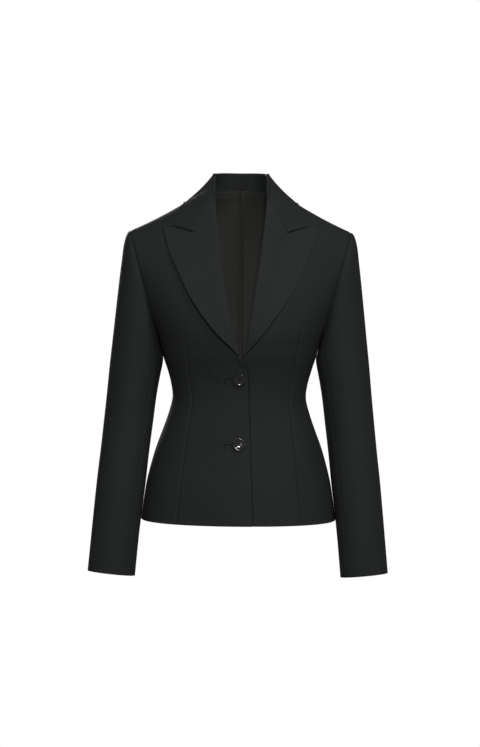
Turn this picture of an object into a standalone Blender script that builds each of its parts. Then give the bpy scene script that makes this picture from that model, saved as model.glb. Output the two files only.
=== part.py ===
"""Single breasted blazer with peak lapels and two buttons, filled out as it is worn.

Metres, +Z up. The wearer faces -Y and the wearer's right is at -X. The origin is between the
shoulders, at the height of the neck. The tables and sizes below are in millimetres.
Every piece of cloth is a wall between two grids of points: its outer face, worked out from the
jacket's sections, and the same points moved in by the cloth's thickness.
"""
import math

import bmesh
import bpy
import numpy as np
from mathutils import Vector

MM = 0.001
QUARTER = math.pi / 2
POWER = 0.89              # squareness of the body's ovals, 1 for an ellipse

# ---------------------------------------------------------------- cloth and seams
CLOTH = 1.6          # thickness of the wool with its canvas
LINING = 1.0         # thickness of the lining
SEAM = 0.3           # clear gap between two pieces at a seam
LAP_STEP = 1.25      # each front moves this far out or in where the fronts lap

# ---------------------------------------------------------------- armhole
UNDERARM = (143.5, 2.0, -238.0)
SHOULDER_TIP = (193.5, 5.0, -48.0)
ARMHOLE_FRONT = 54.0      # how far the armhole reaches forward of its middle
ARMHOLE_BACK = 56.0
NECK_HALF = 62.0          # from the centre to where the shoulder seam meets the neck
NECK_POINT = 24.9         # and the height there
RIDGE_TOP = 62.8          # height of the shoulder line carried on to the centre
RIDGE_BEND = 0.29         # how much steeper the shoulder line starts than it ends
RIDGE_SOFT = 0.06         # share of the width over which it rounds at the centre
BACK_NECK = 21.0          # height of the neck seam at the centre back
HEM = -557.5


def table(names, rows):
    """Columns of a table by name."""
    return dict(zip(names.split(), np.array(rows, float).T))


# side seam: half width of the body at each height, and where the seam runs front to back
SIDES = table("height half_width seam", [
    (-557.5, 171.3, 2), (-520, 165.3, 2), (-490, 160.5, 2), (-460, 152.6, 2),
    (-430, 144.0, 1), (-400, 133.6, 0), (-370, 123.3, 0), (-340, 116.6, 0),
    (-315, 119.8, 0), (-290, 126.8, 1), (-276, 131.6, 1), (-262, 135.6, 1.5),
    (-250, 139.3, 2), (-238, 143.5, 2)])

# centre line below the armhole: how far the front and the back stand from the middle
CENTRE = table("height front back", [
    (-557.5, -123, 125), (-520, -121, 125), (-490, -118, 121), (-460, -114, 114),
    (-430, -109, 105), (-400, -104, 96), (-370, -100, 90), (-340, -99, 87),
    (-310, -103, 88), (-285, -111, 92), (-260, -121, 96), (-238, -127, 100)])

# centre line beside the armhole, by its turn from underarm (0) to shoulder tip (1)
YOKE = table("turn front back", [
    (0, -127, 100), (.05, -127.5, 100.3), (.1, -128.7, 101.4), (.2, -130.5, 104.6),
    (.3, -128.5, 107.5), (.4, -121, 108), (.5, -107, 105),
    (.6, -88, 97), (.7, -65, 82), (.8, -41, 60), (.9, -18, 34), (1, 5, 5)])

# inner edge of a front: plain edge below the break, roll line above it, neck at the top
FRONT_EDGE = table("height across", [
    (-557.5, -24.4), (-500, -22.4), (-420, -19), (-330, -15.8), (-292, -13.4),
    (-283, -11.5), (-270, -2.5), (-259, 5.4), (-251, 8.5), (-214, 17.2), (-184, 23.1),
    (-140, 29.7), (-107, 34.9), (-62, 40.4), (-24, 45.2), (0, 47.6), (9, 49.2), (17, 53.8),
    (NECK_POINT, NECK_HALF)])

# long dart, from its point at the chest to the hem, and the line that carries on above it
DART = table("height across", [
    (-557.5, 108.4), (-491, 101.4), (-442, 96), (-400, 91), (-373, 87), (-346, 83),
    (-301, 88), (-261, 92), (-224, 96.5), (-180, 101), (-100, 110), (-10, 118)])
DART_TOP = -205.0
DART_DEPTH = 0.8

# sleeve sections, each a slice through an outer and an inner point
SLEEVE = table("outer_x outer_z inner_x inner_z middle tilt front back lean", [
    (193.5, -48, 143.5, -238, 3.5, 1.5, 54, 56, 0),
    (198.6, -52, 142.9, -241.5, 3.5, 1.5, 56, 58, 0),
    (202.6, -61, 141.9, -245.5, 3, 1.5, 57.5, 59.5, 0),
    (206.2, -77, 140.6, -250.5, 3, 1.4, 58.5, 60.5, 0),
    (209.2, -102, 139.3, -256, 2.5, 1.2, 59, 61, 0),
    (213.0, -134, 138.2, -262.5, 2, 1, 59, 61, 0),
    (218.0, -180, 137.6, -271, 1.5, .8, 58.5, 60.5, 0),
    (223.5, -232, 138.8, -283, 1, .5, 58, 59.5, 0),
    (229.0, -284, 143.0, -305, 0, 0, 57, 58, 0),
    (233.2, -329, 148.4, -339, -1, 0, 55, 56, -.01),
    (238.0, -377, 153.9, -386.5, -2.5, 0, 52.5, 53, -.02),
    (243.6, -432, 161.0, -441, -5, 0, 50, 50, -.03),
    (250.0, -490, 167.8, -499, -9.5, 0, 47.5, 47, -.05),
    (257.2, -566, 174.6, -575, -17, 0, 45.5, 45, -.07),
    (264.7, -648, 184.0, -656.5, -25, 0, 43.5, 43.5, -.08)])
SLEEVE_CLEAR = 0.45       # from the head of the sleeve to the armhole
FRONT_SEAM = 135.0        # degrees from the outer line of the sleeve to its front seam
ELBOW_SEAM = -120.0       # and to its seam behind the elbow

# lapel: its roll line and its outer edge, seen from the front
ROLL = table("height across", [
    (-259, 2), (-251, 5), (-214, 13.8), (-184, 19.8), (-140, 26.4), (-107, 31.6),
    (-62, 37.1), (-24, 41.6), (9, 44)])
LAPEL_EDGE = table("height across", [
    (-259, 6.3), (-251, 11.5), (-221, 40.4), (-190.9, 63.7), (-163.2, 82.7),
    (-124.7, 103), (-94.7, 117.8), (-64.3, 129.2), (-41, 135.5)])
GORGE = table("height across", [(9, 46.9), (-16, 63), (-51, 80.2)])
COLLAR_TIP = (117.3, -40.0)
ROLL_RADIUS = 2.9         # outside radius of the rolled edge
LAPEL_LIFT = 4.4          # outer face of the lapel over the front, at the roll
LAPEL_REST = 2.6          # and at its outer edge

# collar: sections from the centre back to the gorge
COLLAR = table("fold_x fold_y fold_z neck_x neck_y neck_z edge_x edge_z behind", [
    (0, 66, 49, 0, 73, 22.5, 0, 2, 1),
    (25, 60, 49.5, 31, 62, 23, 40, 0, 1),
    (41.5, 42, 50, 50, 40, 24.5, 74, -1, 1),
    (46.5, 25, 50, 56, 22, 25.5, 84, 6, 1),
    (47.5, 8, 49.5, 58.6, 5, 26, 89, 0, 0),
    (47.4, -13, 31, 52.2, -15, 18, 103, -7, -1),
    (46.9, -31, 9, 48.9, -30, 11.4, 110, -19, -1)])
COLLAR_LIFT = 3.0         # outer face of the collar's edge over the jacket
COLLAR_HOLLOW = 1.2       # how far the fall hollows in between fold and edge

# lining that shows inside the neck
LINING_LIFT = 3.0         # from the outer face of the back to the lining
PLEAT_HALF = 7.0
PLEAT_DEPTH = 1.6

# buttons
BUTTON_HEIGHTS = {"upper": -302.4, "lower": -416.2}
BUTTON_GAP = 1.0          # shank between the cloth and the button's back
BUTTON_STEPS = 28
BUTTON_HOLE_RADIUS = 1.1
BUTTON_HOLE_OUT = 2.3
DRILL_LENGTH = 20.0       # of the rods that cut the holes
# half section of a button, from the middle of its face, over the rim, to its back
BUTTON_SECTION = table("out depth", [
    (0, 2.4), (5.0, 2.5), (7.2, 3.0), (8.6, 4.0), (9.8, 4.3), (10.8, 3.7), (11.2, 2.6),
    (10.6, 1.2), (8.0, 0.3), (0, 0)])


# ---------------------------------------------------------------- curves and surfaces
def read(rows, along, column, at):
    """Smooth cubic curve through two columns of a table, held level past its ends."""
    s, v = rows[along], rows[column]
    slope = np.gradient(v, s)
    at = np.clip(at, min(s[0], s[-1]), max(s[0], s[-1]))
    i = np.clip(np.searchsorted(s, at) - 1, 0, len(s) - 2)
    h = s[i + 1] - s[i]
    t = (at - s[i]) / h
    return ((1 + 2 * t) * (1 - t) ** 2 * v[i] + t * (1 - t) ** 2 * h * slope[i]
            + t * t * (3 - 2 * t) * v[i + 1] + t * t * (t - 1) * h * slope[i + 1])


def step(at, start, end):
    """Smooth rise from 0 at the start to 1 at the end."""
    t = np.clip((at - start) / (end - start), 0, 1)
    return t * t * (3 - 2 * t)


def shoulder_line(part):
    """Share of the fall of the shoulder, steeper near the neck, level at the centre line."""
    bend = math.hypot(1, RIDGE_SOFT) - RIDGE_SOFT
    part = (np.sqrt(part ** 2 + RIDGE_SOFT ** 2) - RIDGE_SOFT) / bend
    return part * (1 + RIDGE_BEND - RIDGE_BEND * part)


def section(turn, side):
    """Section of the body: below the armhole (turn -1 to 0) or beside it (0 to 1)."""
    below = turn < 0
    height = UNDERARM[2] - np.minimum(turn, 0) * (HEM - UNDERARM[2])
    up = np.clip(turn, 0, .999)
    share = (1 - np.cos(math.pi * up)) / 2
    reach = np.sin(math.pi * up) * (-ARMHOLE_FRONT if side < 0 else ARMHOLE_BACK)
    name = "front" if side < 0 else "back"
    tip, arm = SHOULDER_TIP, UNDERARM
    seam = np.where(below, read(SIDES, "height", "seam", height), arm[1] + (tip[1] - arm[1]) * share)
    centre = np.where(below, read(CENTRE, "height", name, height), read(YOKE, "turn", name, up))
    last = np.arccos(np.clip(reach / (centre - seam), 0, 1) ** (1 / POWER))
    return {
        "outer_x": np.where(below, read(SIDES, "height", "half_width", height),
                            arm[0] + (tip[0] - arm[0]) * share),
        "outer_z": np.where(below, height, arm[2] + (tip[2] - arm[2]) * share),
        "seam_y": seam,
        "centre_y": centre,
        "centre_z": np.where(below, height, arm[2] + (RIDGE_TOP - arm[2]) * share),
        "last_angle": last,
    }


def on_body(angle, turn, side):
    """Outer face of the body: angle 0 at the centre line, a quarter turn at its outer edge.

    Each section is part of a rounded oval, cut off where the armhole starts.
    """
    s = section(turn, side)
    angle = angle * s["last_angle"] / QUARTER
    sine, cosine = np.sin(angle), np.cos(angle)
    part = np.sign(sine) * np.abs(sine) ** POWER / np.sin(s["last_angle"]) ** POWER
    depth = np.sign(cosine) * np.abs(cosine) ** POWER
    return np.stack([
        s["outer_x"] * part,
        s["seam_y"] + (s["centre_y"] - s["seam_y"]) * depth,
        s["centre_z"] + (s["outer_z"] - s["centre_z"]) * shoulder_line(part)], -1)


def angle_at(part, s):
    """Angle at which a section reaches a share of its own width."""
    sine = np.clip(np.abs(part), 0, 1) ** (1 / POWER) * np.sin(s["last_angle"])
    return np.sign(part) * np.arcsin(sine) * QUARTER / s["last_angle"]


def turn_at(x, z):
    """Turn of the section that passes through a point seen from the front."""
    low, high = np.full(np.shape(x), -1.0), np.ones(np.shape(x))
    for _ in range(40):
        turn = (low + high) / 2
        s = section(turn, -1)
        part = np.clip(x / s["outer_x"], -1, 1)
        found = s["centre_z"] + (s["outer_z"] - s["centre_z"]) * shoulder_line(part)
        low, high = np.where(found < z, turn, low), np.where(found < z, high, turn)
    return (low + high) / 2


def body_from_front(x, z, side):
    """Point of the body's outer face with the given x and z."""
    x, z = np.broadcast_arrays(np.asarray(x, float), np.asarray(z, float))
    turn = turn_at(x, z)
    s = section(turn, side)
    y = on_body(angle_at(x / s["outer_x"], s), turn, side)[..., 1]
    return np.stack([x, y, z], -1)


def direction(vectors):
    """The same vectors at length one."""
    return vectors / np.linalg.norm(vectors, axis=-1, keepdims=True)


def normals(surface, u, v, nudge=1e-3):
    """Direction square to a surface, from the change along each of its two values."""
    v = np.minimum(v, 1 - 4 * nudge)
    along_u = surface(u + nudge, v) - surface(u - nudge, v)
    along_v = surface(u, v + nudge) - surface(u, v - nudge)
    return direction(np.cross(along_u, along_v))


def front_normals(x, z):
    """Direction square to the front's outer face, pointing away from the wearer."""
    e = 0.5
    by_x = body_from_front(x + e, z, -1)[..., 1] - body_from_front(x - e, z, -1)[..., 1]
    by_z = body_from_front(x, z + e, -1)[..., 1] - body_from_front(x, z - e, -1)[..., 1]
    return direction(np.stack([by_x / (2 * e), -np.ones_like(by_x), by_z / (2 * e)], -1))


def lap_shift(points, layer):
    """The right front lies over the left, so each moves by a little near the centre."""
    near = (1 - step(np.abs(points[..., 0]), 30, 58)) * (1 - step(points[..., 2], -210, -120))
    return layer * LAP_STEP * near


# ---------------------------------------------------------------- making objects
def material(name, colour, roughness):
    made = bpy.data.materials.new(name)
    made.use_nodes = True
    shader = made.node_tree.nodes["Principled BSDF"]
    shader.inputs["Base Color"].default_value = (*colour, 1)
    shader.inputs["Roughness"].default_value = roughness
    shader.inputs["Metallic"].default_value = 0
    return made


def add_object(name, mesh, finish, collection):
    made = bpy.data.objects.new(name, mesh)
    made.data.materials.append(finish)
    collection.objects.link(made)
    return made


def trimmed(grid, edges, gap=SEAM / 2):
    """Moves the named edges of a grid back, by half a seam's gap where nothing else is given."""
    grid = grid.copy()
    for edge in edges:
        rim, inside = {"first": (grid[:, 0], grid[:, 1]), "last": (grid[:, -1], grid[:, -2]),
                       "bottom": (grid[0], grid[1]), "top": (grid[-1], grid[-2])}[edge]
        rim += direction(inside - rim) * gap
    return grid


def wall(name, outer, inner, finish, collection, side=1):
    """Closed piece of cloth between two grids of points, mirrored to -X when side is -1."""
    rows, columns = outer.shape[:2]
    points = np.concatenate([outer.reshape(-1, 3), inner.reshape(-1, 3)]) * MM
    points[:, 0] *= side
    index = np.arange(rows * columns).reshape(rows, columns)
    quads = np.stack([index[:-1, :-1], index[:-1, 1:], index[1:, 1:], index[1:, :-1]], -1)
    quads = quads.reshape(-1, 4)
    rim = np.concatenate([index[0, :-1], index[:-1, -1], index[-1, :0:-1], index[:0:-1, 0]])
    ahead = np.roll(rim, -1)
    far = rows * columns
    edges = np.stack([ahead, rim, rim + far, ahead + far], -1)
    faces = np.concatenate([quads, quads[:, ::-1] + far, edges])
    mesh = bpy.data.meshes.new(name)
    mesh.from_pydata(points.tolist(), [], faces.tolist())
    cloth = bmesh.new()
    cloth.from_mesh(mesh)
    bmesh.ops.recalc_face_normals(cloth, faces=cloth.faces)
    cloth.to_mesh(mesh)
    cloth.free()
    mesh.shade_smooth()
    mesh.set_sharp_from_angle(angle=math.radians(40))
    return add_object(name, mesh, finish, collection)


# ---------------------------------------------------------------- body
TURNS = np.concatenate([np.linspace(-1, -.142, 11), [-.1, -.066, -.033], np.linspace(0, 1, 13)])
FRONT_COLUMNS = np.array([0, .1, .22, .34, .43, .47, .5, .53, .58, .66, .75, .84, .92, 1])
BACK_COLUMNS = np.array([0, .1, .2, .3, .42, .47, .5, .53, .6, .7, .8, .9, 1])


def line_angle(rows, turn, side):
    """Angle at which a line drawn on the front view crosses each section."""
    s = section(turn, side)
    z = s["outer_z"]
    for _ in range(30):
        part = read(rows, "height", "across", z) / s["outer_x"]
        z = s["centre_z"] + (s["outer_z"] - s["centre_z"]) * shoulder_line(part)
    return angle_at(part, s)


def front_surface(layer):
    """Front, from its edge (0) over the dart (a half) to the side (1)."""
    def surface(across, turn):
        edge, dart = line_angle(FRONT_EDGE, turn, -1), line_angle(DART, turn, -1)
        angle = np.where(across < .5, edge + (dart - edge) * across * 2,
                         dart + (QUARTER - dart) * (across * 2 - 1))
        points = on_body(angle, turn, -1)
        points[..., 1] += lap_shift(points, layer)
        return points
    return surface


def below_neck(angle, turn, level):
    """Turns of the back's sections, drawn down near the centre to end at the neck seam."""
    top = section(np.ones_like(turn), 1)
    part = np.sin(np.abs(angle) * top["last_angle"] / QUARTER) / np.sin(top["last_angle"])
    neck = np.clip(part * SHOULDER_TIP[0] / NECK_HALF, 0, 1)
    height = level + (NECK_POINT - level) * neck ** 2 - UNDERARM[2]
    fall = RIDGE_TOP - SHOULDER_TIP[2]
    share = np.minimum(height / (RIDGE_TOP - UNDERARM[2] - fall * shoulder_line(part)), 1)
    highest = np.arccos(1 - 2 * share) / math.pi
    up = np.maximum(turn, 0)
    return np.where(turn < 0, turn, up - (1 - highest) * up ** 3)


def back_surface(across, turn):
    """Back, from the centre seam (0) to the side (1), cut off at the neck."""
    dart = line_angle(DART, turn, 1)
    angle = np.where(across < .5, dart * across * 2, dart + (QUARTER - dart) * (across * 2 - 1))
    return on_body(angle, below_neck(angle, turn, BACK_NECK), 1)


def dart_groove(points, square, columns):
    """Sinks the dart's line into the outer face, from its point down to the hem."""
    line = int(np.argmin(np.abs(columns - .5)))
    sink = DART_DEPTH * step(points[:, line, 2], DART_TOP, DART_TOP - 60)
    points[:, line] -= square[:, line] * sink[:, None]


def body_panel(name, surface, columns, facing, edges, finish, collection, side):
    across, turn = np.meshgrid(columns, TURNS)
    square = facing * normals(surface, across, turn)
    outer = trimmed(surface(across, turn), edges)
    inner = outer - square * CLOTH
    dart_groove(outer, square, columns)
    return wall(name, outer, inner, finish, collection, side)


# ---------------------------------------------------------------- sleeves
SLEEVE_ROWS = 22


def sleeve_surface(angle, along):
    """Sleeve: angle 0 on its outer line, a quarter turn at the front, rows down the arm."""
    rows = dict(SLEEVE, place=np.linspace(0, 1, len(SLEEVE["middle"])))
    value = {name: read(rows, "place", name, along) for name in SLEEVE}
    cosine, sine = np.cos(angle), np.sin(angle)
    reach = np.where(sine > 0, -value["front"], -value["back"]) * sine
    x = (value["outer_x"] + value["inner_x"]) / 2 + (value["outer_x"] - value["inner_x"]) / 2 * cosine
    z = (value["outer_z"] + value["inner_z"]) / 2 + (value["outer_z"] - value["inner_z"]) / 2 * cosine
    y = value["middle"] + value["tilt"] * cosine + reach
    return np.stack([x, y, z + value["lean"] * reach], -1)


def sleeve_half(name, first, last, columns, finish, collection, side):
    """One half of a sleeve, between two of its seams."""
    angle, along = np.meshgrid(np.radians(np.linspace(first, last, columns)),
                               np.linspace(0, 1, SLEEVE_ROWS) ** 1.15)
    square = normals(sleeve_surface, angle, along)
    outer = sleeve_surface(angle, along)
    away = np.cross([0, 1, 0], np.subtract(UNDERARM, SHOULDER_TIP) * (1, 0, 1))
    outer -= direction(away) * SLEEVE_CLEAR
    outer = trimmed(outer, ["first", "last"])
    return wall(name, outer, outer - square * CLOTH, finish, collection, side)


# ---------------------------------------------------------------- lapels and collar
LAPEL_ROWS = np.linspace(0, 1, 17)
LAPEL_COLUMNS = np.array([0, .13, .3, .45, .63, .82, 1])
ROLL_TURNS = np.radians([180, 140, 100, 55])      # steps of the rolled edge


def patch(left, right, bottom, top, u, v):
    """Flat grid blended from its four edges."""
    u, v = u[..., None], v[..., None]
    corner = ((1 - u) * (1 - v) * left[:1, None] + u * (1 - v) * right[:1, None]
              + (1 - u) * v * left[-1:, None] + u * v * right[-1:, None])
    return ((1 - u) * left[:, None] + u * right[:, None]
            + (1 - v) * bottom[None] + v * top[None] - corner)


def line(rows, share):
    """Points (x, z) at even steps of height along a line of the front view."""
    z = rows["height"][0] + (rows["height"][-1] - rows["height"][0]) * share
    ordered = {k: v[np.argsort(rows["height"])] for k, v in rows.items()}
    return np.stack([read(ordered, "height", "across", z), z], -1)


def lapel_top():
    """Upper edge of the lapel: down the gorge to the notch, and up to the peak."""
    notch = LAPEL_COLUMNS <= .45
    gorge = line(GORGE, LAPEL_COLUMNS[notch] / .45)
    peak = line(LAPEL_EDGE, np.array([1.0]))
    share = ((LAPEL_COLUMNS[~notch] - .45) / .55)[:, None]
    return np.concatenate([gorge, gorge[-1] + (peak - gorge[-1]) * share])


def lapel(name, layer, finish, collection, side):
    """Lapel turned back over the front, with the roll that it turns on."""
    u, v = np.meshgrid(LAPEL_COLUMNS, LAPEL_ROWS)
    roll, edge = line(ROLL, LAPEL_ROWS), line(LAPEL_EDGE, LAPEL_ROWS)
    roll[:, 0] += ROLL_RADIUS
    bottom = roll[0] + (edge[0] - roll[0]) * LAPEL_COLUMNS[:, None]
    top = lapel_top()
    top[0] = roll[-1]
    flat = patch(roll, edge, bottom, top, u, v)
    x, z = flat[..., 0], flat[..., 1]
    face, square = body_from_front(x, z, -1), front_normals(x, z)
    lift = LAPEL_REST + (LAPEL_LIFT - LAPEL_REST) * (1 - u) ** 2
    laid = face + square * lift[..., None]
    turned = ROLL_TURNS[None, :, None]
    middle = face[:, :1] + square[:, :1] * (LAPEL_LIFT - ROLL_RADIUS)
    sideways = direction(np.cross(square[:, :1], direction(np.gradient(laid[:, :1], axis=0))))
    spoke = np.cos(turned) * square[:, :1] + np.sin(turned) * sideways
    outer = np.concatenate([middle + spoke * ROLL_RADIUS, laid], 1)
    facing = np.concatenate([spoke, square], 1)
    outer[..., 1] += lap_shift(outer, layer)
    inner = outer - facing * CLOTH
    outer, inner = (trimmed(grid, ["top"], SEAM) for grid in (outer, inner))
    return wall(name, outer, inner, finish, collection, side)


NECK_STEPS = 10           # from the centre back to the roll, on each side
GORGE_STEPS = 4           # and from there to the notch
ACROSS_FALL = np.linspace(0, 1, 6)
FOLD_TURNS = np.radians([0, 60, 120, 180])
STAND_BACK = 1.3          # how far the stand stops short of each lapel


def lifted(x, z, behind, lift):
    """Point over the back (1), the shoulder line (0) or the front (-1) of the body."""
    if behind == 0:
        height = RIDGE_TOP + (SHOULDER_TIP[2] - RIDGE_TOP) * shoulder_line(x / SHOULDER_TIP[0])
        return np.array([x, SHOULDER_TIP[1], height + lift])
    out = front_normals(x, z) if behind < 0 else np.array([0, .9, .44])
    return body_from_front(x, z, behind) + out * lift


def collar_rows():
    """Sections of the collar on one side: fold, neck, outer edge, and the way the fold turns."""
    edge = np.array([lifted(*place, COLLAR_LIFT) for place in
                     zip(COLLAR["edge_x"], COLLAR["edge_z"], COLLAR["behind"])])
    fold, neck = (np.stack([COLLAR[f"{name}_{axis}"] for axis in "xyz"], -1)
                  for name in ("fold", "neck"))
    out = direction((edge - fold) * (1, 1, 0))
    top = np.tile([0.0, 0, 1], (len(fold), 1))
    fold[-1] = lifted(fold[-1, 0], fold[-1, 2], -1, LAPEL_LIFT - ROLL_RADIUS)
    neck[-1] = lifted(neck[-1, 0], neck[-1, 2], -1, -CLOTH)
    out[-1] = front_normals(fold[-1, 0], fold[-1, 2])
    top[-1] = direction(np.cross(out[-1], np.cross((-1, 0, 0), out[-1])))
    out[-2], top[-2] = direction(out[-3] * 2 + out[-1]), direction(top[-3] * 2 + top[-1])
    return fold, neck, edge, out, top


def through(rows, at):
    """Points at even steps along a curve through a row of sections."""
    place = np.linspace(0, 1, len(rows))
    columns = [read({"place": place, "value": rows[:, k]}, "place", "value", at)
               for k in range(rows.shape[1])]
    return np.stack(columns, -1)


def both_sides(half):
    """Rows from one end of the collar, round the centre back, to the other end."""
    return np.concatenate([half[:0:-1] * (-1, 1, 1), half])


def fall_surface():
    """Outer face of the fall, one row for each step round the neck."""
    fold, neck, edge, out, top = collar_rows()
    at, along_gorge = np.linspace(0, 1, NECK_STEPS + 1), np.linspace(0, 1, GORGE_STEPS + 1)[1:]
    seam = line(GORGE, along_gorge)
    laid = body_from_front(seam[:, 0], seam[:, 1], -1)
    lift = LAPEL_LIFT + (LAPEL_REST - LAPEL_LIFT) * (1 - (1 - along_gorge * .45) ** 2)
    laid = laid + front_normals(seam[:, 0], seam[:, 1]) * lift[:, None]
    first = np.concatenate([through(fold + out * ROLL_RADIUS, at), laid])[:, None]
    tip = lifted(*COLLAR_TIP, -1, COLLAR_LIFT)
    end = edge[-1] + (tip - edge[-1]) * along_gorge[:, None]
    last = np.concatenate([through(edge, at), end])[:, None]
    hug = np.concatenate([step(at, .6, 1), np.ones(GORGE_STEPS)])[:, None, None]
    r = ACROSS_FALL[:, None]
    outward = direction(direction((last - first) * (1, 1, 0)) + (0, 0, 1))
    loose = first + (last - first) * r - outward * COLLAR_HOLLOW * 4 * r * (1 - r)
    x, z = (first + (last - first) * r)[..., 0], (first + (last - first) * r)[..., 2]
    lift = COLLAR_LIFT + (LAPEL_LIFT - COLLAR_LIFT) * (1 - ACROSS_FALL) ** 2
    close = body_from_front(x, z, -1) + front_normals(x, z) * lift[:, None]
    close[:, 0] = first[:, 0]
    return loose + (close - loose) * hug


def grid_normals(grid):
    """Direction square to a grid, from its neighbouring points."""
    along, across = (np.gradient(grid, axis=axis, edge_order=2) for axis in (0, 1))
    return direction(np.cross(along, across))


def collar_fall(finish, collection):
    outer = both_sides(fall_surface())
    square = grid_normals(outer)
    inner = outer - square * CLOTH
    outer, inner = (trimmed(grid, ["first"]) for grid in (outer, inner))
    return wall("collar_fall", outer, inner, finish, collection)


def collar_stand(finish, collection):
    """Band inside the neck, rolled over at the top to meet the fall."""
    at = np.linspace(0, 1, NECK_STEPS + 1)
    fold, neck, edge, out, top = (through(rows, at)[:, None] for rows in collar_rows())
    out, top = direction(out), direction(top)
    rise = np.array([0, .3, .6, .85])[:, None]
    band = neck + (fold - out * ROLL_RADIUS - neck) * rise
    turned = FOLD_TURNS[:, None]
    spoke = np.sin(turned) * top - np.cos(turned) * out
    outer = both_sides(np.concatenate([band, fold + spoke * ROLL_RADIUS], 1))
    facing = both_sides(np.concatenate([np.repeat(-out, len(rise), 1), spoke], 1))
    inner = outer - facing * CLOTH
    outer, inner = (trimmed(grid, ["last"]) for grid in (outer, inner))
    outer, inner = (trimmed(grid, ["bottom", "top"], STAND_BACK) for grid in (outer, inner))
    return wall("collar_stand", outer, inner, finish, collection)


# ---------------------------------------------------------------- lining and buttons
LINING_ROWS = np.linspace(0, 1, 13)
LINING_COLUMNS = np.array([-1, -.8, -.6, -.4, -.2, -.08, -.035, 0, .035, .08, .2, .4, .6, .8, 1])
LINING_SIDE = 1.15        # angle on the body at the lining's side, in radians
LINING_LOW, LINING_HIGH = -.19, .985


def lining_surface(across, share):
    """Outer face of the back over the lining: -1 and 1 at its sides, 0 at its lower edge."""
    angle = np.abs(across) * LINING_SIDE
    turn = below_neck(angle, LINING_LOW + (LINING_HIGH - LINING_LOW) * share, BACK_NECK - 2)
    points = on_body(angle, turn, 1)
    points[..., 0] *= np.where(across < 0, -1, 1)
    return points


def back_lining(finish, collection):
    """Lining of the upper back, with a pleat down its centre."""
    across, share = np.meshgrid(LINING_COLUMNS, LINING_ROWS)
    points, square = lining_surface(across, share), -normals(lining_surface, across, share)
    pleat = PLEAT_DEPTH * np.clip(1 - np.abs(points[..., 0]) / PLEAT_HALF, 0, 1)
    outer = points - square * LINING_LIFT
    inner = outer - square * (LINING + pleat[..., None])
    return wall("back_lining", outer, inner, finish, collection)


def button(name, height, finish, collection):
    """Turned button with four holes, standing just off the right front."""
    profile = bpy.data.meshes.new(name + "_section")
    points = [(r * MM, 0, d * MM) for r, d in zip(BUTTON_SECTION["out"], BUTTON_SECTION["depth"])]
    profile.from_pydata(points, [(i, i + 1) for i in range(len(points) - 1)], [])
    made = add_object(name, profile, finish, collection)
    turned = made.modifiers.new("turned", "SCREW")
    turned.steps = turned.render_steps = BUTTON_STEPS
    turned.use_merge_vertices = True
    turned.merge_threshold = 0.00001
    turned.use_smooth_shade = True
    out = Vector(front_normals(0.0, height))
    face = Vector(body_from_front(0.0, height, -1)) - Vector((0, LAP_STEP, 0))
    made.location = (face + out * BUTTON_GAP) * MM
    made.rotation_euler = out.to_track_quat("Z", "Y").to_euler()
    bpy.ops.mesh.primitive_cylinder_add(vertices=8, radius=BUTTON_HOLE_RADIUS * MM,
                                        depth=DRILL_LENGTH * MM)
    drill = bpy.context.object
    drill.name = name + "_hole"
    for other in list(drill.users_collection):
        other.objects.unlink(drill)
    cutters.objects.link(drill)
    holes = bmesh.new()
    for turn in range(4):
        angle = math.pi / 4 + turn * math.pi / 2
        one = bmesh.new()
        one.from_mesh(drill.data)
        shift = Vector((math.cos(angle), math.sin(angle), 0)) * BUTTON_HOLE_OUT * MM
        bmesh.ops.translate(one, verts=one.verts, vec=shift)
        copy = bpy.data.meshes.new("hole")
        one.to_mesh(copy)
        one.free()
        holes.from_mesh(copy)
        bpy.data.meshes.remove(copy)
    holes.to_mesh(drill.data)
    holes.free()
    drill.location, drill.rotation_euler = made.location, made.rotation_euler
    drill.hide_render = True
    drill.display_type = "WIRE"
    drilled = made.modifiers.new("holes", "BOOLEAN")
    drilled.operation = "DIFFERENCE"
    drilled.object = drill
    return made


# ---------------------------------------------------------------- the jacket
for old in list(bpy.data.objects):
    bpy.data.objects.remove(old, do_unlink=True)

jacket = bpy.data.collections.new("single_breasted_blazer")
cutters = bpy.data.collections.new("cutters")
for group in (jacket, cutters):
    bpy.context.scene.collection.children.link(group)

WOOL, SILK, HORN = (0.014, 0.015, 0.015), (0.016, 0.014, 0.012), (0.006, 0.006, 0.007)

for hand, mirror, over in (("right", -1, -1), ("left", 1, 1)):
    def wool(piece):
        return material(f"{piece}_{hand}", WOOL, 0.75)

    body_panel(f"front_{hand}", front_surface(over), FRONT_COLUMNS, 1, ["last", "top"],
               wool("front"), jacket, mirror)
    body_panel(f"back_{hand}", back_surface, BACK_COLUMNS, -1, ["first", "last", "top"],
               wool("back"), jacket, mirror)
    sleeve_half(f"top_sleeve_{hand}", ELBOW_SEAM, FRONT_SEAM, 15, wool("top_sleeve"),
                jacket, mirror)
    sleeve_half(f"under_sleeve_{hand}", FRONT_SEAM, 360 + ELBOW_SEAM, 8, wool("under_sleeve"),
                jacket, mirror)
    lapel(f"lapel_{hand}", over, wool("lapel"), jacket, mirror)

collar_fall(material("collar_fall", WOOL, 0.75), jacket)
collar_stand(material("collar_stand", WOOL, 0.75), jacket)
back_lining(material("back_lining", SILK, 0.45), jacket)
for place, level in BUTTON_HEIGHTS.items():
    button(f"button_{place}", level, material(f"button_{place}", HORN, 0.15), jacket)
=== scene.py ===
# %% [markdown]
# # A single breasted blazer, cut and sewn from curved sheets
#
# The real jacket is about a dozen pieces of fine black wool, each cut flat and made round by
# darts, seams and steam. It is filled out here as it is worn, with nothing inside, so what has to
# be right is the cloth itself. Every piece below is one sheet with a front, a back and a rounded
# edge. Its shape is a formula of two numbers, worked out on a whole grid at once with numpy.

import math
from functools import partial

import bpy
import numpy as np
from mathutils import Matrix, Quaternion, Vector


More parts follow.
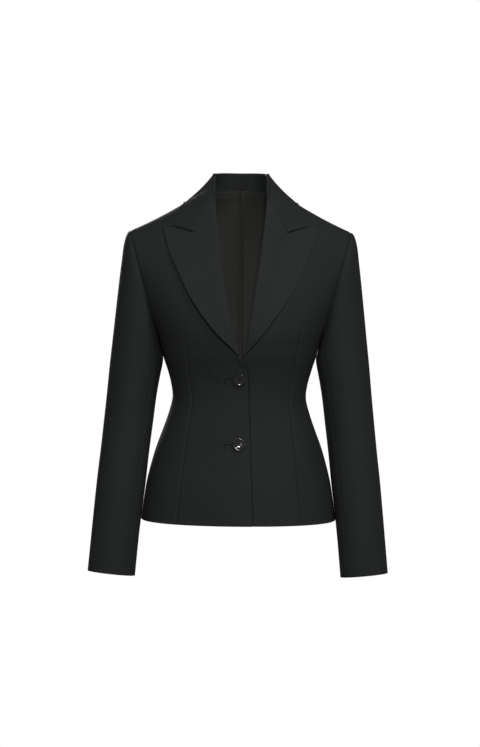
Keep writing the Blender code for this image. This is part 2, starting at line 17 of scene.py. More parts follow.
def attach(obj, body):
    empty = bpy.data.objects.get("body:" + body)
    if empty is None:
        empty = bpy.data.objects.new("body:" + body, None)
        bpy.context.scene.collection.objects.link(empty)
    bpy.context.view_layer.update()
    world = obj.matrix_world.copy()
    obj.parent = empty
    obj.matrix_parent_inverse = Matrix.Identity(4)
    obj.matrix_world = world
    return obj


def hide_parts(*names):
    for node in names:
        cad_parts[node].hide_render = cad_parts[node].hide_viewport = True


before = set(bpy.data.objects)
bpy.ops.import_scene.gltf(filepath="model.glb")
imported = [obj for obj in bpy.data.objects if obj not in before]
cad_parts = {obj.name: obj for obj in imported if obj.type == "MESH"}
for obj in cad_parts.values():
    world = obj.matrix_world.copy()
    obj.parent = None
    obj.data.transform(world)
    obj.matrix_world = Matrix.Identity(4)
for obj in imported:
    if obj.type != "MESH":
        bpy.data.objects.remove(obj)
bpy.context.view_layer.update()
MM = 0.001

# %% [markdown]
# ## Camera
#
# The camera stands a few metres away with a long lens, so that near parts don't look wider than
# far ones. The picture is taller than wide, and Blender measures the sensor along the longer side.
# A small turn about the line of sight takes up the lean of the garment.

# %% Camera
CAMERA_DISTANCE = 5.0
CAMERA_HEIGHT = math.radians(3.7)
CAMERA_TURN = math.radians(0.5)
LENS, SENSOR = 136.2, 36
AIM = Vector((0.0010, 0, -0.2993))


def look_at(thing, place, aim, turn=0.0):
    """Puts a camera or lamp at a place, facing the aim, turned about its own line of sight."""
    thing.location = place
    away = (Vector(aim) - Vector(place)).to_track_quat("-Z", "Y")
    thing.rotation_mode = "QUATERNION"
    thing.rotation_quaternion = away @ Quaternion((0, 0, 1), turn)


camera = bpy.data.objects.new("camera", bpy.data.cameras.new("camera"))
bpy.context.collection.objects.link(camera)
camera.data.lens, camera.data.sensor_width = LENS, SENSOR
camera.data.clip_end = 50
toward = Vector((0, -math.cos(CAMERA_HEIGHT), math.sin(CAMERA_HEIGHT)))
look_at(camera, AIM + toward * CAMERA_DISTANCE, AIM, CAMERA_TURN)
bpy.context.scene.camera = camera
print("camera at", [round(x, 2) for x in camera.location])

# %% [markdown]
# ## Sizes
#
# These are the measures that a pattern cutter would note, in millimetres. The wearer faces -Y.
# Most lines are short tables: a row for each level, and a smooth curve through the rows.

# %% Sizes of the cloth, the armhole and the shoulder
QUARTER = math.pi / 2
HANDS = {"right": -1, "left": 1}       # the wearer's sides: sign of x, and of each front's lap
POWER = 0.89              # squareness of the body's ovals, 1 for an ellipse
CLOTH, LINING = 1.6, 1.0  # thickness of the wool with its canvas, and of the lining
SEAM = -0.06              # two sewn edges press into each other by this much
GORGE_GAP = 0.3           # and where the collar is sewn to the lapels
LAP_STEP = 1.25           # each front moves this far out or in where the fronts lap
LAP_WIDE, LAP_TALL = (30, 58), (-210, -120)    # across and in height: full, and none of it
UNDERARM = (143.5, 2.0, -238.0)
SHOULDER_TIP = (193.5, 5.0, -48.0)
ARMHOLE_FRONT, ARMHOLE_BACK = 54.0, 56.0
NECK_HALF, NECK_POINT = 62.0, 24.9     # where the shoulder seam meets the neck
RIDGE_TOP, RIDGE_BEND, RIDGE_SOFT = 62.8, 0.29, 0.06
BACK_NECK = 21.0
HEM = -557.5


def table(names, rows):
    """Columns of a table by name."""
    return dict(zip(names.split(), np.array(rows, float).T))


SIDES = table("height half_width seam", [
    (-557.5, 172.4, 2), (-520, 167.3, 2), (-490, 162.5, 2), (-460, 155.2, 2),
    (-430, 146.4, 1), (-400, 135.3, 0), (-370, 124.9, 0), (-340, 118.0, 0),
    (-315, 121.2, 0), (-290, 128.6, 1), (-276, 133.4, 1), (-262, 137.2, 1.5),
    (-250, 140.2, 2), (-238, 143.5, 2)])
CENTRE = table("height front back", [
    (-557.5, -123, 125), (-520, -121, 125), (-490, -118, 121), (-460, -114, 114),
    (-430, -109, 105), (-400, -104, 96), (-370, -100, 90), (-340, -99, 87),
    (-310, -103, 88), (-285, -111, 92), (-260, -121, 96), (-238, -127, 100)])
YOKE = table("turn front back", [
    (0, -127, 100), (.01, -127.02, 100.013), (.02, -127.08, 100.05), (.035, -127.24, 100.15),
    (.05, -127.5, 100.3), (.1, -128.7, 101.4), (.2, -130.5, 104.6),
    (.3, -128.5, 107.5), (.4, -121, 108), (.5, -107, 105),
    (.6, -88, 97), (.7, -65, 82), (.8, -41, 60), (.9, -18, 34), (1, 5, 5)])
FRONT_EDGE = table("height across", [
    (-557.5, -24.4), (-500, -22.4), (-420, -19), (-330, -15.8), (-292, -13.4),
    (-283, -11.5), (-270, -2.5), (-259, 5.4), (-251, 8.5), (-214, 17.2), (-184, 23.1),
    (-140, 29.7), (-107, 34.9), (-62, 40.4), (-24, 45.2), (0, 47.6), (9, 49.2), (17, 53.8),
    (NECK_POINT, NECK_HALF)])
DART = table("height across", [
    (-557.5, 108.4), (-491, 101.4), (-442, 96), (-400, 91), (-373, 87), (-346, 83),
    (-301, 88), (-261, 92), (-224, 97), (-180, 106), (-124, 130), (-90, 145), (-41, 157),
    (-10, 157)])
LAPEL_EDGE = table("height across", [
    (-259, 6.3), (-251, 11.5), (-221, 40.4), (-190.9, 63.7), (-163.2, 82.7),
    (-124.7, 103), (-94.7, 117.8), (-64.3, 129.2), (-41, 135.5)])
DART_TOP = -205.0
print("chest to hem:", UNDERARM[2] - HEM, "mm; waist half width:", min(SIDES["half_width"]), "mm")

# %% [markdown]
# ## Curves through the tables
#
# A cubic curve through the rows keeps a seam smooth where straight lines would show corners.

# %% Smooth curves
def read(rows, along, column, at):
    """Cubic curve through two columns of a table: each piece meets the next at the same slope."""
    s, v = rows[along], rows[column]
    slope = np.gradient(v, s)
    at = np.clip(at, min(s[0], s[-1]), max(s[0], s[-1]))
    i = np.clip(np.searchsorted(s, at) - 1, 0, len(s) - 2)
    h = s[i + 1] - s[i]
    t = (at - s[i]) / h
    return ((1 + 2 * t) * (1 - t) ** 2 * v[i] + t * (1 - t) ** 2 * h * slope[i]
            + t * t * (3 - 2 * t) * v[i + 1] + t * t * (t - 1) * h * slope[i + 1])


def step(at, start, end):
    """Smooth rise from 0 at the start to 1 at the end: three t squared less two t cubed."""
    t = np.clip((at - start) / (end - start), 0, 1)
    return t * t * (3 - 2 * t)


def direction(vectors):
    """The same vectors at length one."""
    return vectors / np.linalg.norm(vectors, axis=-1, keepdims=True)


print("waist at", float(read(SIDES, "height", "half_width", -335.0)))

# %% [markdown]
# ## The body
#
# Below the armhole a section of the jacket is a slightly square oval. Beside the armhole the
# sections tilt until the last one is the shoulder line, so one family of sections carries the
# cloth from the hem over the chest to the shoulder.

# %% The body's surface
def shoulder_line(part):
    """Share of the shoulder's fall at a share of its width: a square root rounds it at the
    centre and a parabola makes it steeper near the neck."""
    bend = math.hypot(1, RIDGE_SOFT) - RIDGE_SOFT
    part = (np.sqrt(part ** 2 + RIDGE_SOFT ** 2) - RIDGE_SOFT) / bend
    return part * (1 + RIDGE_BEND - RIDGE_BEND * part)


def section(turn, side):
    """Measures of one section: turn -1 at the hem, 0 at the underarm, 1 at the shoulder."""
    below = turn < 0
    height = UNDERARM[2] - np.minimum(turn, 0) * (HEM - UNDERARM[2])
    up = np.clip(turn, 0, .999)
    share = (1 - np.cos(math.pi * up)) / 2
    reach = np.sin(math.pi * up) * (-ARMHOLE_FRONT if side < 0 else ARMHOLE_BACK)
    name = "front" if side < 0 else "back"
    tip, arm = SHOULDER_TIP, UNDERARM
    seam = np.where(below, read(SIDES, "height", "seam", height), arm[1] + (tip[1] - arm[1]) * share)
    centre = np.where(below, read(CENTRE, "height", name, height), read(YOKE, "turn", name, up))
    last = np.arccos(np.clip(reach / (centre - seam), 0, 1) ** (1 / POWER))
    return {
        "outer_x": np.where(below, read(SIDES, "height", "half_width", height),
                            arm[0] + (tip[0] - arm[0]) * share),
        "outer_z": np.where(below, height, arm[2] + (tip[2] - arm[2]) * share),
        "seam_y": seam,
        "centre_y": centre,
        "centre_z": np.where(below, height, arm[2] + (RIDGE_TOP - arm[2]) * share),
        "last_angle": last,
    }


def on_body(angle, turn, side):
    """Outer face: a rounded oval, x by a power of the sine of the angle and y by a power of its
    cosine, cut off where the armhole starts."""
    s = section(turn, side)
    angle = angle * s["last_angle"] / QUARTER
    sine, cosine = np.sin(angle), np.cos(angle)
    part = np.sign(sine) * np.abs(sine) ** POWER / np.sin(s["last_angle"]) ** POWER
    depth = np.sign(cosine) * np.abs(cosine) ** POWER
    return np.stack([
        s["outer_x"] * part,
        s["seam_y"] + (s["centre_y"] - s["seam_y"]) * depth,
        s["centre_z"] + (s["outer_z"] - s["centre_z"]) * shoulder_line(part)], -1)


def angle_at(part, s):
    """Angle at which a section reaches a share of its own width, the inverse of on_body."""
    sine = np.clip(np.abs(part), 0, 1) ** (1 / POWER) * np.sin(s["last_angle"])
    return np.sign(part) * np.arcsin(sine) * QUARTER / s["last_angle"]


def turn_at(x, z):
    """Turn of the section through a point seen from the front, found by halving."""
    low, high = np.full(np.shape(x), -1.0), np.ones(np.shape(x))
    for _ in range(40):
        turn = (low + high) / 2
        s = section(turn, -1)
        part = np.clip(x / s["outer_x"], -1, 1)
        found = s["centre_z"] + (s["outer_z"] - s["centre_z"]) * shoulder_line(part)
        low, high = np.where(found < z, turn, low), np.where(found < z, high, turn)
    return (low + high) / 2


def body_from_front(x, z, side=-1):
    """Point of the body's outer face with the given x and z."""
    x, z = np.broadcast_arrays(np.asarray(x, float), np.asarray(z, float))
    turn = turn_at(x, z)
    s = section(turn, side)
    y = on_body(angle_at(x / s["outer_x"], s), turn, side)[..., 1]
    return np.stack([x, y, z], -1)


def normals(surface, u, v, nudge=1e-3):
    """Direction square to a surface: the cross product of its changes along both values."""
    v = np.minimum(v, 1 - 4 * nudge)
    along_u = surface(u + nudge, v) - surface(u - nudge, v)
    along_v = surface(u, v + nudge) - surface(u, v - nudge)
    return direction(np.cross(along_u, along_v))


def front_normals(x, z):
    """Direction square to the front, from the slopes of its depth along x and z."""
    e = 0.5
    by_x = body_from_front(x + e, z)[..., 1] - body_from_front(x - e, z)[..., 1]
    by_z = body_from_front(x, z + e)[..., 1] - body_from_front(x, z - e)[..., 1]
    return direction(np.stack([by_x / (2 * e), -np.ones_like(by_x), by_z / (2 * e)], -1))


def lap_shift(points, layer):
    """The right front lies over the left, so each moves by a little near the centre."""
    near = (1 - step(np.abs(points[..., 0]), *LAP_WIDE)) * (1 - step(points[..., 2], *LAP_TALL))
    return layer * LAP_STEP * near


print("front of the chest:", on_body(np.zeros(1), np.zeros(1), -1).round(1))

# %% [markdown]
# ## From a grid to a sheet of cloth
#
# A sheet needs an outer face, an inner face and an edge. A square edge catches no light and looks
# like card, so a few close rows are added along each border and both faces bend to the middle of
# the cloth, in a quarter circle. At a seam the cloth also dips where the stitches pull it down.
# The same function measures the sheet along its rows and columns and keeps that as its UV map,
# so that the weave is the same size on every piece.

# %% Cloth
RIM = np.array([0, .06, .22, .5, 1.0])     # added rows, in half thicknesses from the border
ROUND = .96                                # share of half the cloth that its edge is rounded by
SEAM_DIP, SEAM_REACH = 0.42, 1.5           # how deep the stitches pull a seam, and how far from it
FAR_AWAY = 99.0
made_sheets = []


def bordered(grid, distances, axis):
    """Adds rows next to both borders, at fixed distances from them along the surface."""
    grid = np.moveaxis(grid, axis, 0)
    first, last = direction(grid[1] - grid[0]), direction(grid[-2] - grid[-1])
    start = grid[0] + first * distances[:, None, None]
    end = grid[-1] + last * distances[::-1, None, None]
    return np.moveaxis(np.concatenate([start, grid[1:-1], end]), 0, axis)


def repeated(grid, count, axis):
    """Repeats the border rows as often as bordered adds rows."""
    return np.concatenate([np.repeat(np.take(grid, [0], axis), count, axis),
                           np.take(grid, range(1, grid.shape[axis] - 1), axis),
                           np.repeat(np.take(grid, [-1], axis), count, axis)], axis)


def border_distance(shape, distances, axis, end):
    """How far each row lies from one border: known near it, and far everywhere else."""
    far = np.full(shape[axis], FAR_AWAY)
    far[:len(distances)] = distances
    far = far if end == 0 else far[::-1]
    return far[:, None] if axis == 0 else far[None]


def finished(mesh, finish):
    """Object of a mesh: smooth, in the scene, with one finish."""
    mesh.shade_smooth()
    piece = bpy.data.objects.new(mesh.name, mesh)
    bpy.context.collection.objects.link(piece)
    mesh.materials.append(finish)
    return piece


def cloth_mesh(name, outer, inner, cloth_map, finish, side=1):
    """Closed mesh between two grids: two faces of quads, and a strip round the rim."""
    rows, columns = outer.shape[:2]
    p = np.concatenate([outer.reshape(-1, 3), inner.reshape(-1, 3)])
    index = np.arange(rows * columns).reshape(rows, columns)
    quads = np.stack([index[:-1, :-1], index[:-1, 1:], index[1:, 1:], index[1:, :-1]], -1)
    quads = quads.reshape(-1, 4)
    rim = np.concatenate([index[0, :-1], index[:-1, -1], index[-1, :0:-1], index[:0:-1, 0]])
    ahead = np.roll(rim, -1)
    far = rows * columns
    edges = np.stack([ahead, rim, rim + far, ahead + far], -1)
    faces = np.concatenate([quads, quads[:, ::-1] + far, edges])
    middle = quads[len(quads) // 2]
    square = np.cross(p[middle[1]] - p[middle[0]], p[middle[2]] - p[middle[0]])
    outward = np.dot(square, p[middle[0]] - p[middle[0] + far]) > 0
    if outward == (side < 0):
        faces = faces[:, ::-1]
    mesh = bpy.data.meshes.new(name)
    mesh.vertices.add(len(p))
    mesh.vertices.foreach_set("co", (p * MM * (side, 1, 1)).ravel())
    mesh.loops.add(faces.size)
    mesh.loops.foreach_set("vertex_index", faces.ravel().astype(np.int32))
    mesh.polygons.add(len(faces))
    mesh.polygons.foreach_set("loop_start", np.arange(0, faces.size, 4, dtype=np.int32))
    mesh.update(calc_edges=True)
    mesh.validate()
    flat = np.concatenate([cloth_map.reshape(-1, 2)] * 2)[faces.ravel()] * MM
    mesh.uv_layers.new(name="cloth").data.foreach_set("uv", flat.ravel())
    return finished(mesh, finish)


def sheet(name, face, facing, thickness, finish, side=1, seams="", dip=0.0):
    """Sheet of cloth on a grid: quarter-circle edges, and a dip along the borders named in seams
    (first, last, bottom, top). dip is any extra height to take off the outer face."""
    close = RIM * thickness / 2
    dip = np.broadcast_to(dip, face.shape[:2])[..., None]
    for axis in (0, 1):
        face = bordered(face, close, axis)
        facing = repeated(facing, len(close), axis)
        dip = repeated(dip, len(close), axis)
    radius = thickness / 2 * ROUND
    drop, sunk = np.zeros(face.shape[:2]), dip[..., 0].copy()
    for border, axis, end in (("bottom", 0, 0), ("top", 0, 1), ("first", 1, 0), ("last", 1, 1)):
        near = border_distance(face.shape, close, axis, end)
        inside = np.clip(radius - near, 0, radius)
        drop = np.maximum(drop, radius - np.sqrt(radius ** 2 - inside ** 2))
        if border in seams:
            apart = np.linalg.norm(face - np.take(face, [-end], axis), axis=-1)
            sunk += SEAM_DIP * np.exp(-(apart / SEAM_REACH) ** 2)
    outer = face - facing * (drop + sunk)[..., None]
    inner = face - facing * (thickness - drop + np.minimum(sunk, thickness / 3))[..., None]
    across = np.linalg.norm(np.diff(face, axis=1, prepend=face[:, :1]), axis=-1).cumsum(1)
    down = np.linalg.norm(np.diff(face, axis=0, prepend=face[:1]), axis=-1).cumsum(0)
    middle = face.shape[1] // 2
    cloth_map = np.stack([across - across[:, middle:middle + 1],
                          np.broadcast_to(down[:, middle:middle + 1], across.shape)], -1)
    piece = cloth_mesh(name, outer, inner, cloth_map, finish, side)
    made_sheets.append(piece)
    return piece


def dress(piece, node):
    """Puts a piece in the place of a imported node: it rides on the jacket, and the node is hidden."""
    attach(piece, "root")
    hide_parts(node)
    print(piece.name, len(piece.data.polygons), "faces")


# %% [markdown]
# ## Creases
#
# Pressed wool has few folds, and they are shallow: a pull from the button, a drag below the
# armhole, a break inside the elbow. Each is a soft trough along a line, deepest in the middle and
# gone at both ends. A table gives each its own length, width and depth, so no two are alike.

# %% Creases
CREASE_BOW, CREASE_HALF = .8, .33          # bend in widths, and half its length as a share of all


def creased(across, along, rows):
    """Depth of all creases at a point: each is a bell curve of the distance from its line,
    times a bell along it. Positive is a trough and negative a ridge."""
    depth = np.zeros(np.shape(across))
    for x0, z0, x1, z1, width, deep in rows:
        length = math.hypot(x1 - x0, z1 - z0)
        ux, uz = (x1 - x0) / length, (z1 - z0) / length
        t = ((across - x0) * ux + (along - z0) * uz) / length
        off = (across - x0) * -uz + (along - z0) * ux
        bow = off - width * CREASE_BOW * np.sin(math.pi * np.clip(t, 0, 1))
        depth += deep * np.exp(-(bow / width) ** 2) * np.exp(-((t - .5) / CREASE_HALF) ** 4)
    return depth


# %% [markdown]
# ## Finishes
#
# Fine wool suiting is a twill: warp threads pass over two and under two, one step further each
# row, so faint ribs run up at an angle. It is nearly black but never flat: single fibres are a
# little lighter and catch the light at grazing angles, which is what the sheen is for. The
# pattern reads the cloth's own UV map in metres, so it follows each piece round.

# %% Node helpers
def new_finish(name):
    """Empty material with its shader."""
    made = bpy.data.materials.new(name)
    made.use_nodes = True
    return made, made.node_tree.nodes, made.node_tree.links


def add(nodes, kind, **values):
    """Node of a kind with its settings, and its inputs by number where the name starts with i."""
    node = nodes.new(kind)
    for key, value in values.items():
        if key[0] == "i" and key[1:].isdigit():
            node.inputs[int(key[1:])].default_value = value
        else:
            setattr(node, key, value)
    return node


def sums(nodes, links, kind, a, b):
    """One step of arithmetic between two outputs or numbers."""
    node = add(nodes, "ShaderNodeMath", operation=kind)
    for socket, value in zip(node.inputs, (a, b)):
        if isinstance(value, (int, float)):
            socket.default_value = value
        else:
            links.new(value, socket)
    return node.outputs[0]


def two_tones(nodes, links, pattern, dark, light):
    """Gives the shader a colour between two tones, as much as the pattern says."""
    tone = add(nodes, "ShaderNodeMix", data_type="RGBA")
    tone.inputs[6].default_value = (*dark, 1)
    tone.inputs[7].default_value = (*light, 1)
    links.new(pattern, tone.inputs[0])
    links.new(tone.outputs[2], nodes["Principled BSDF"].inputs["Base Color"])


# %% Wool and lining
THREADS = 2600.0          # threads in a metre of cloth
THREAD = 0.00007          # height of a thread in the bump
FIBRES, CLOUDS = 1800.0, 9.0           # scales of the fibres and of the slow changes of tone


def woven(name, colour, lighter, roughness, sheen, rib, uneven):
    """Cloth finish: a twill of two crossed waves, fibres as fine noise, and slow changes of tone."""
    made, nodes, links = new_finish(name)
    shader, calc = nodes["Principled BSDF"], partial(sums, nodes, links)
    cloth = add(nodes, "ShaderNodeUVMap", uv_map="cloth")
    split = add(nodes, "ShaderNodeSeparateXYZ")
    links.new(cloth.outputs[0], split.inputs[0])
    u, v = (calc("MULTIPLY", split.outputs[k], THREADS * 2 * math.pi) for k in (0, 1))
    ribs = calc("SINE", calc("MULTIPLY", calc("ADD", u, v), .5), 0)
    threads = calc("SINE", calc("SUBTRACT", u, v), 0)
    place = add(nodes, "ShaderNodeTexCoord")
    fibre = add(nodes, "ShaderNodeTexNoise", i2=FIBRES, i3=3.0)
    cloud = add(nodes, "ShaderNodeTexNoise", i2=CLOUDS, i3=4.0)
    for texture in (fibre, cloud):
        links.new(place.outputs["Object"], texture.inputs["Vector"])
    weave = calc("ADD", calc("MULTIPLY", ribs, rib), calc("MULTIPLY", threads, (1 - rib) * .5))
    height = calc("ADD", weave, calc("MULTIPLY", fibre.outputs["Fac"], 1.1))
    bump = add(nodes, "ShaderNodeBump")
    bump.inputs["Strength"].default_value = .55
    bump.inputs["Distance"].default_value = THREAD
    links.new(height, bump.inputs["Height"])
    links.new(bump.outputs[0], shader.inputs["Normal"])
    mixed = calc("ADD", calc("MULTIPLY", cloud.outputs["Fac"], uneven),
                 calc("MULTIPLY", fibre.outputs["Fac"], .5))
    mixed = calc("ADD", mixed, calc("MULTIPLY", weave, .18))
    two_tones(nodes, links, mixed, colour, lighter)
    rough = calc("ADD", roughness, calc("MULTIPLY", weave, .05))
    links.new(rough, shader.inputs["Roughness"])
    shader.inputs["Specular IOR Level"].default_value = .05
    shader.inputs["Sheen Weight"].default_value = sheen
    shader.inputs["Sheen Roughness"].default_value = .45
    shader.inputs["Sheen Tint"].default_value = (.80, .86, .84, 1)
    return made


WOOL = woven("black_wool_twill", (.0085, .0095, .0092), (.018, .0195, .019), .85, .004, .62, .35)
# painted light: the lapels get a lighter copy of the wool, for the extra light that falls on them beside
# the shaded chest
LAPEL_WOOL_LIT = woven("black_wool_facing", (.0095, .0107, .0104), (.0200, .0218, .0213), .85, .004, .62, .35)
LINING_CLOTH = woven("brown_black_lining", (.0188, .0186, .0176), (.029, .0287, .0272),
                     .6, .01, .3, .3)
print("finishes:", [m.name for m in (WOOL, LAPEL_WOOL_LIT, LINING_CLOTH)])

# %% [markdown]
# ## Fronts and backs
#
# Each front runs from its edge round to the side seam. The long dart is a line of stitches that
# takes in the waist: along it the outer face is sunk in a narrow groove, and the cloth swells a
# little on both sides. The darts have no end at the hem, where they run off the cloth.

# %% Fronts and backs
BUTTON_HEIGHTS = {"upper": -302.4, "lower": -416.2}
UNDER_LINE = 0.15         # share of a front's width at the line of the other edge and the lapel
close_rows = np.array([0, .25, .5, .8, 1.2, 1.8, 2.6])
close_rows = np.concatenate([-close_rows[:0:-1], close_rows]) / (UNDERARM[2] - HEM)
close_columns = np.array([0, .0025, .005, .008, .012, .017, .024, .032])
close_columns = np.concatenate([-close_columns[:0:-1], close_columns])


def with_close(steps, places, close):
    """Even steps with close ones round some places: steps near those are taken out first."""
    for place in places:
        steps = np.concatenate([steps[np.abs(steps - place) > close[-1] * 1.25], place + close])
    return np.sort(steps)


button_rows = [(z - UNDERARM[2]) / (UNDERARM[2] - HEM) for z in BUTTON_HEIGHTS.values()]
BREAK_TURN = -.142        # a section just below the lapels' break: above it the rows lie closer
PANEL_ROWS = np.concatenate([
    with_close(np.linspace(-1, BREAK_TURN, 100), button_rows, close_rows),
    np.linspace(BREAK_TURN, 0, 24)[1:], np.linspace(0, 1, 80)[1:]])
COLUMNS = {"front": with_close(np.linspace(0, 1, 66), [UNDER_LINE, .5], close_columns),
           "back": with_close(np.linspace(0, 1, 62), [.5], close_columns)}
DART_DEPTH, DART_FADE = {"right": 2.2, "left": 3.0}, {"right": 60, "left": 24}
# the left front's dart leans out a little more towards its top
FRONT_DARTS = {"right": DART, "left": dict(DART, across=DART["across"] + np.array(
    [2.5, 2.5, 3, 3.5, 4, 4.5, 6, 8, 9, 7, 2, 0, 0, 0]))}
# width of the dart's groove, and the height, distance and width of the swell beside it
DART_WIDTH, DART_SWELL, SWELL_AWAY, SWELL_WIDTH = 1.05, 0.2, 5, 4


def line_angle(rows, turn, side):
    """Angle at which a line drawn on the front view crosses each section."""
    s = section(turn, side)
    z = s["outer_z"]
    for _ in range(30):
        part = read(rows, "height", "across", z) / s["outer_x"]
        z = s["centre_z"] + (s["outer_z"] - s["centre_z"]) * shoulder_line(part)
    return angle_at(part, s)


# on each front: the line below the other front's edge, and from there the lapel's edge
UNDER_EDGE = table("height across", [
    (-557.5, 24.4), (-500, 22.4), (-420, 19), (-330, 15.8), (-292, 13.4), (-270, 8), (-262, 8.5),
    *zip(LAPEL_EDGE["height"][1:], LAPEL_EDGE["across"][1:]), (-20, 136), (10, 120), (NECK_POINT, 96)])
# how far to the wearer's left the fronts cross, at which height, and how tall and wide that reaches
CROSS_SHIFT, CROSS_AT, CROSS_TALL, CROSS_WIDE = 3.2, -248, 42, (18, 62)


def crossed(points, mirror):
    """Moves the crossing of the two fronts to one side, as much as a bell of the height says."""
    bell = np.exp(-((points[..., 2] - CROSS_AT) / CROSS_TALL) ** 2)
    near = 1 - step(np.abs(points[..., 0]), *CROSS_WIDE)
    points[..., 0] += mirror * CROSS_SHIFT * bell * near
    return points


def front_surface(layer, darts):
    """Front, from its edge (0) by the line under the other edge and the dart (a half) to the
    side (1)."""
    def surface(across, turn):
        edge, dart = line_angle(FRONT_EDGE, turn, -1), line_angle(darts, turn, -1)
        under = line_angle(UNDER_EDGE, turn, -1)
        angle = np.where(across < UNDER_LINE, edge + (under - edge) * across / UNDER_LINE,
                         under + (dart - under) * (across - UNDER_LINE) / (.5 - UNDER_LINE))
        angle = np.where(across < .5, angle, dart + (QUARTER - dart) * (across * 2 - 1))
        points = on_body(angle, turn, -1)
        points[..., 1] += lap_shift(points, layer)
        return crossed(points, layer)
    return surface


def below_neck(angle, turn, level):
    """Turns of the back's sections, drawn down near the centre to end at the neck seam."""
    top = section(np.ones_like(turn), 1)
    part = np.sin(np.abs(angle) * top["last_angle"] / QUARTER) / np.sin(top["last_angle"])
    neck = np.clip(part * SHOULDER_TIP[0] / NECK_HALF, 0, 1)
    height = level + (NECK_POINT - level) * neck ** 2 - UNDERARM[2]
    fall = RIDGE_TOP - SHOULDER_TIP[2]
    share = np.minimum(height / (RIDGE_TOP - UNDERARM[2] - fall * shoulder_line(part)), 1)
    highest = np.arccos(1 - 2 * share) / math.pi
    up = np.maximum(turn, 0)
    return np.where(turn < 0, turn, up - (1 - highest) * up ** 3)


def back_surface(across, turn):
    """Back, from the centre seam (0) over its dart (a half) to the side (1)."""
    dart = line_angle(DART, turn, 1)
    angle = np.where(across < .5, dart * across * 2, dart + (QUARTER - dart) * (across * 2 - 1))
    return on_body(angle, below_neck(angle, turn, BACK_NECK), 1)


def dart_dip(face, columns, depth, fade):
    """Groove of the dart less the swell beside it: the groove fades with the distance from its
    line, the swell is a bell curve of it."""
    line = face[:, [int(np.argmin(np.abs(columns - .5)))]]
    apart = np.linalg.norm(face - line, axis=-1)
    sewn = step(line[..., 2], DART_TOP, DART_TOP - fade)
    swell = np.exp(-((apart - SWELL_AWAY) / SWELL_WIDTH) ** 2) * DART_SWELL
    return sewn * (depth * np.exp(-apart / DART_WIDTH) - swell)


def trimmed(grid, edges, gap=SEAM / 2):
    """Moves the named edges back, by half a seam's gap where nothing else is given."""
    grid = grid.copy()
    for edge in edges:
        rim, inside = {"first": (grid[:, 0], grid[:, 1]), "last": (grid[:, -1], grid[:, -2]),
                       "bottom": (grid[0], grid[1]), "top": (grid[-1], grid[-2])}[edge]
        rim += direction(inside - rim) * gap
    return grid


# x0 z0 x1 z1 of each crease seen from the front, its width and its depth
FRONT_CREASES = {
    "right": [(30, -318, 78, -300, 7, .55), (28, -300, 60, -268, 6, .45), (128, -250, 112, -318, 8, .8),
              (36, -430, 84, -412, 8, .4), (150, -196, 120, -236, 9, .7), (60, -520, 56, -440, 14, .5)],
    "left": [(24, -306, 70, -330, 7, .4), (134, -246, 110, -300, 9, .75), (148, -180, 124, -222, 8, .6),
             (34, -420, 78, -446, 9, .35), (128, -540, 118, -452, 13, .6)]}
BACK_CREASES = {
    "right": [(150, -150, 112, -226, 10, .9), (20, -338, 92, -326, 8, .7), (26, -356, 84, -366, 9, .5),
              (120, -262, 98, -318, 8, .6), (70, -540, 62, -440, 15, .6)],
    "left": [(152, -166, 118, -240, 11, .8), (14, -330, 78, -342, 9, .6), (30, -372, 98, -352, 8, .5),
             (124, -270, 100, -312, 7, .5), (92, -548, 80, -470, 13, .55)]}

# depth and two widths of the trough along the lapping edge, and the heights where it ends
EDGE_PRESS, EDGE_OUT, EDGE_UNDER, EDGE_END = 3.0, 1.3, 7.0, (-272, -258)
BREAK_RISE, BREAK_AT, BREAK_TALL, BREAK_WIDE = 2.2, -272, 13, 3.2
# depth and width of the trough beside each lapel, its width below the lapel, and the heights
# between which it starts, eases by a share and ends
LAPEL_SHADE, SHADE_UNDER = {"right": (8.0, 7.0), "left": (5.4, 1.9)}, 9.0
SHADE_START, SHADE_EASE, EASE_SHARE, SHADE_END = (-264, -244), (-225, -110), .75, (-70, -48)
SLIT_FROM, SLIT_TO, SLIT_FADE = -3.0, -25.0, .8
SLIT_DEPTH, SLIT_WIDTH = 1.3, 0.4


def edge_press(face):
    """Trough in the left front along the edge of the right one: it fades quickly on the side
    that shows and slowly below the other front."""
    apart = face[..., 0] + read(FRONT_EDGE, "height", "across", face[..., 2])
    shown = np.exp(-np.abs(apart) / EDGE_OUT)
    depth = np.where(apart > 0, shown, np.exp(-(apart / EDGE_UNDER) ** 2))
    return EDGE_PRESS * depth * (1 - step(face[..., 2], *EDGE_END))


def edge_swell(face):
    """Swell of the right front's own edge where the roll of the lapel runs out in it: a bell of
    the height and another of the distance from the edge."""
    apart = face[..., 0] - read(FRONT_EDGE, "height", "across", face[..., 2])
    bell = np.exp(-((face[..., 2] - BREAK_AT) / BREAK_TALL) ** 2 - (apart / BREAK_WIDE) ** 2)
    return BREAK_RISE * bell


def lapel_press(face, columns, depth, wide):
    """Trough in a front along its lapel's edge, deepest low down: it fades with the distance
    square to that edge, slowly below the lapel and by a given width on the side that shows."""
    line = face[:, [int(np.argmin(np.abs(columns - UNDER_LINE)))]]
    ahead = direction(np.gradient(line, axis=0))
    along = np.sum((face - line) * ahead, axis=-1, keepdims=True)
    apart = np.linalg.norm(face - line - along * ahead, axis=-1)
    z = line[..., 2]
    deep = step(z, *SHADE_START) * (1 - step(z, *SHADE_END)) * depth
    deep = deep * (1 - EASE_SHARE * step(z, *SHADE_EASE))
    return deep * np.where(columns > UNDER_LINE, np.exp(-apart / wide),
                           np.exp(-(apart / SHADE_UNDER) ** 2))


def buttonhole_slit(face):
    """Slits of the buttonholes in the right front: grooves at each button's height."""
    x = face[..., 0]
    within = step(x, SLIT_FROM - SLIT_FADE, -SLIT_FROM) * (1 - step(x, -SLIT_TO, SLIT_FADE - SLIT_TO))
    return sum(SLIT_DEPTH * within * np.exp(-np.abs(face[..., 2] - height) / SLIT_WIDTH)
               for height in BUTTON_HEIGHTS.values())


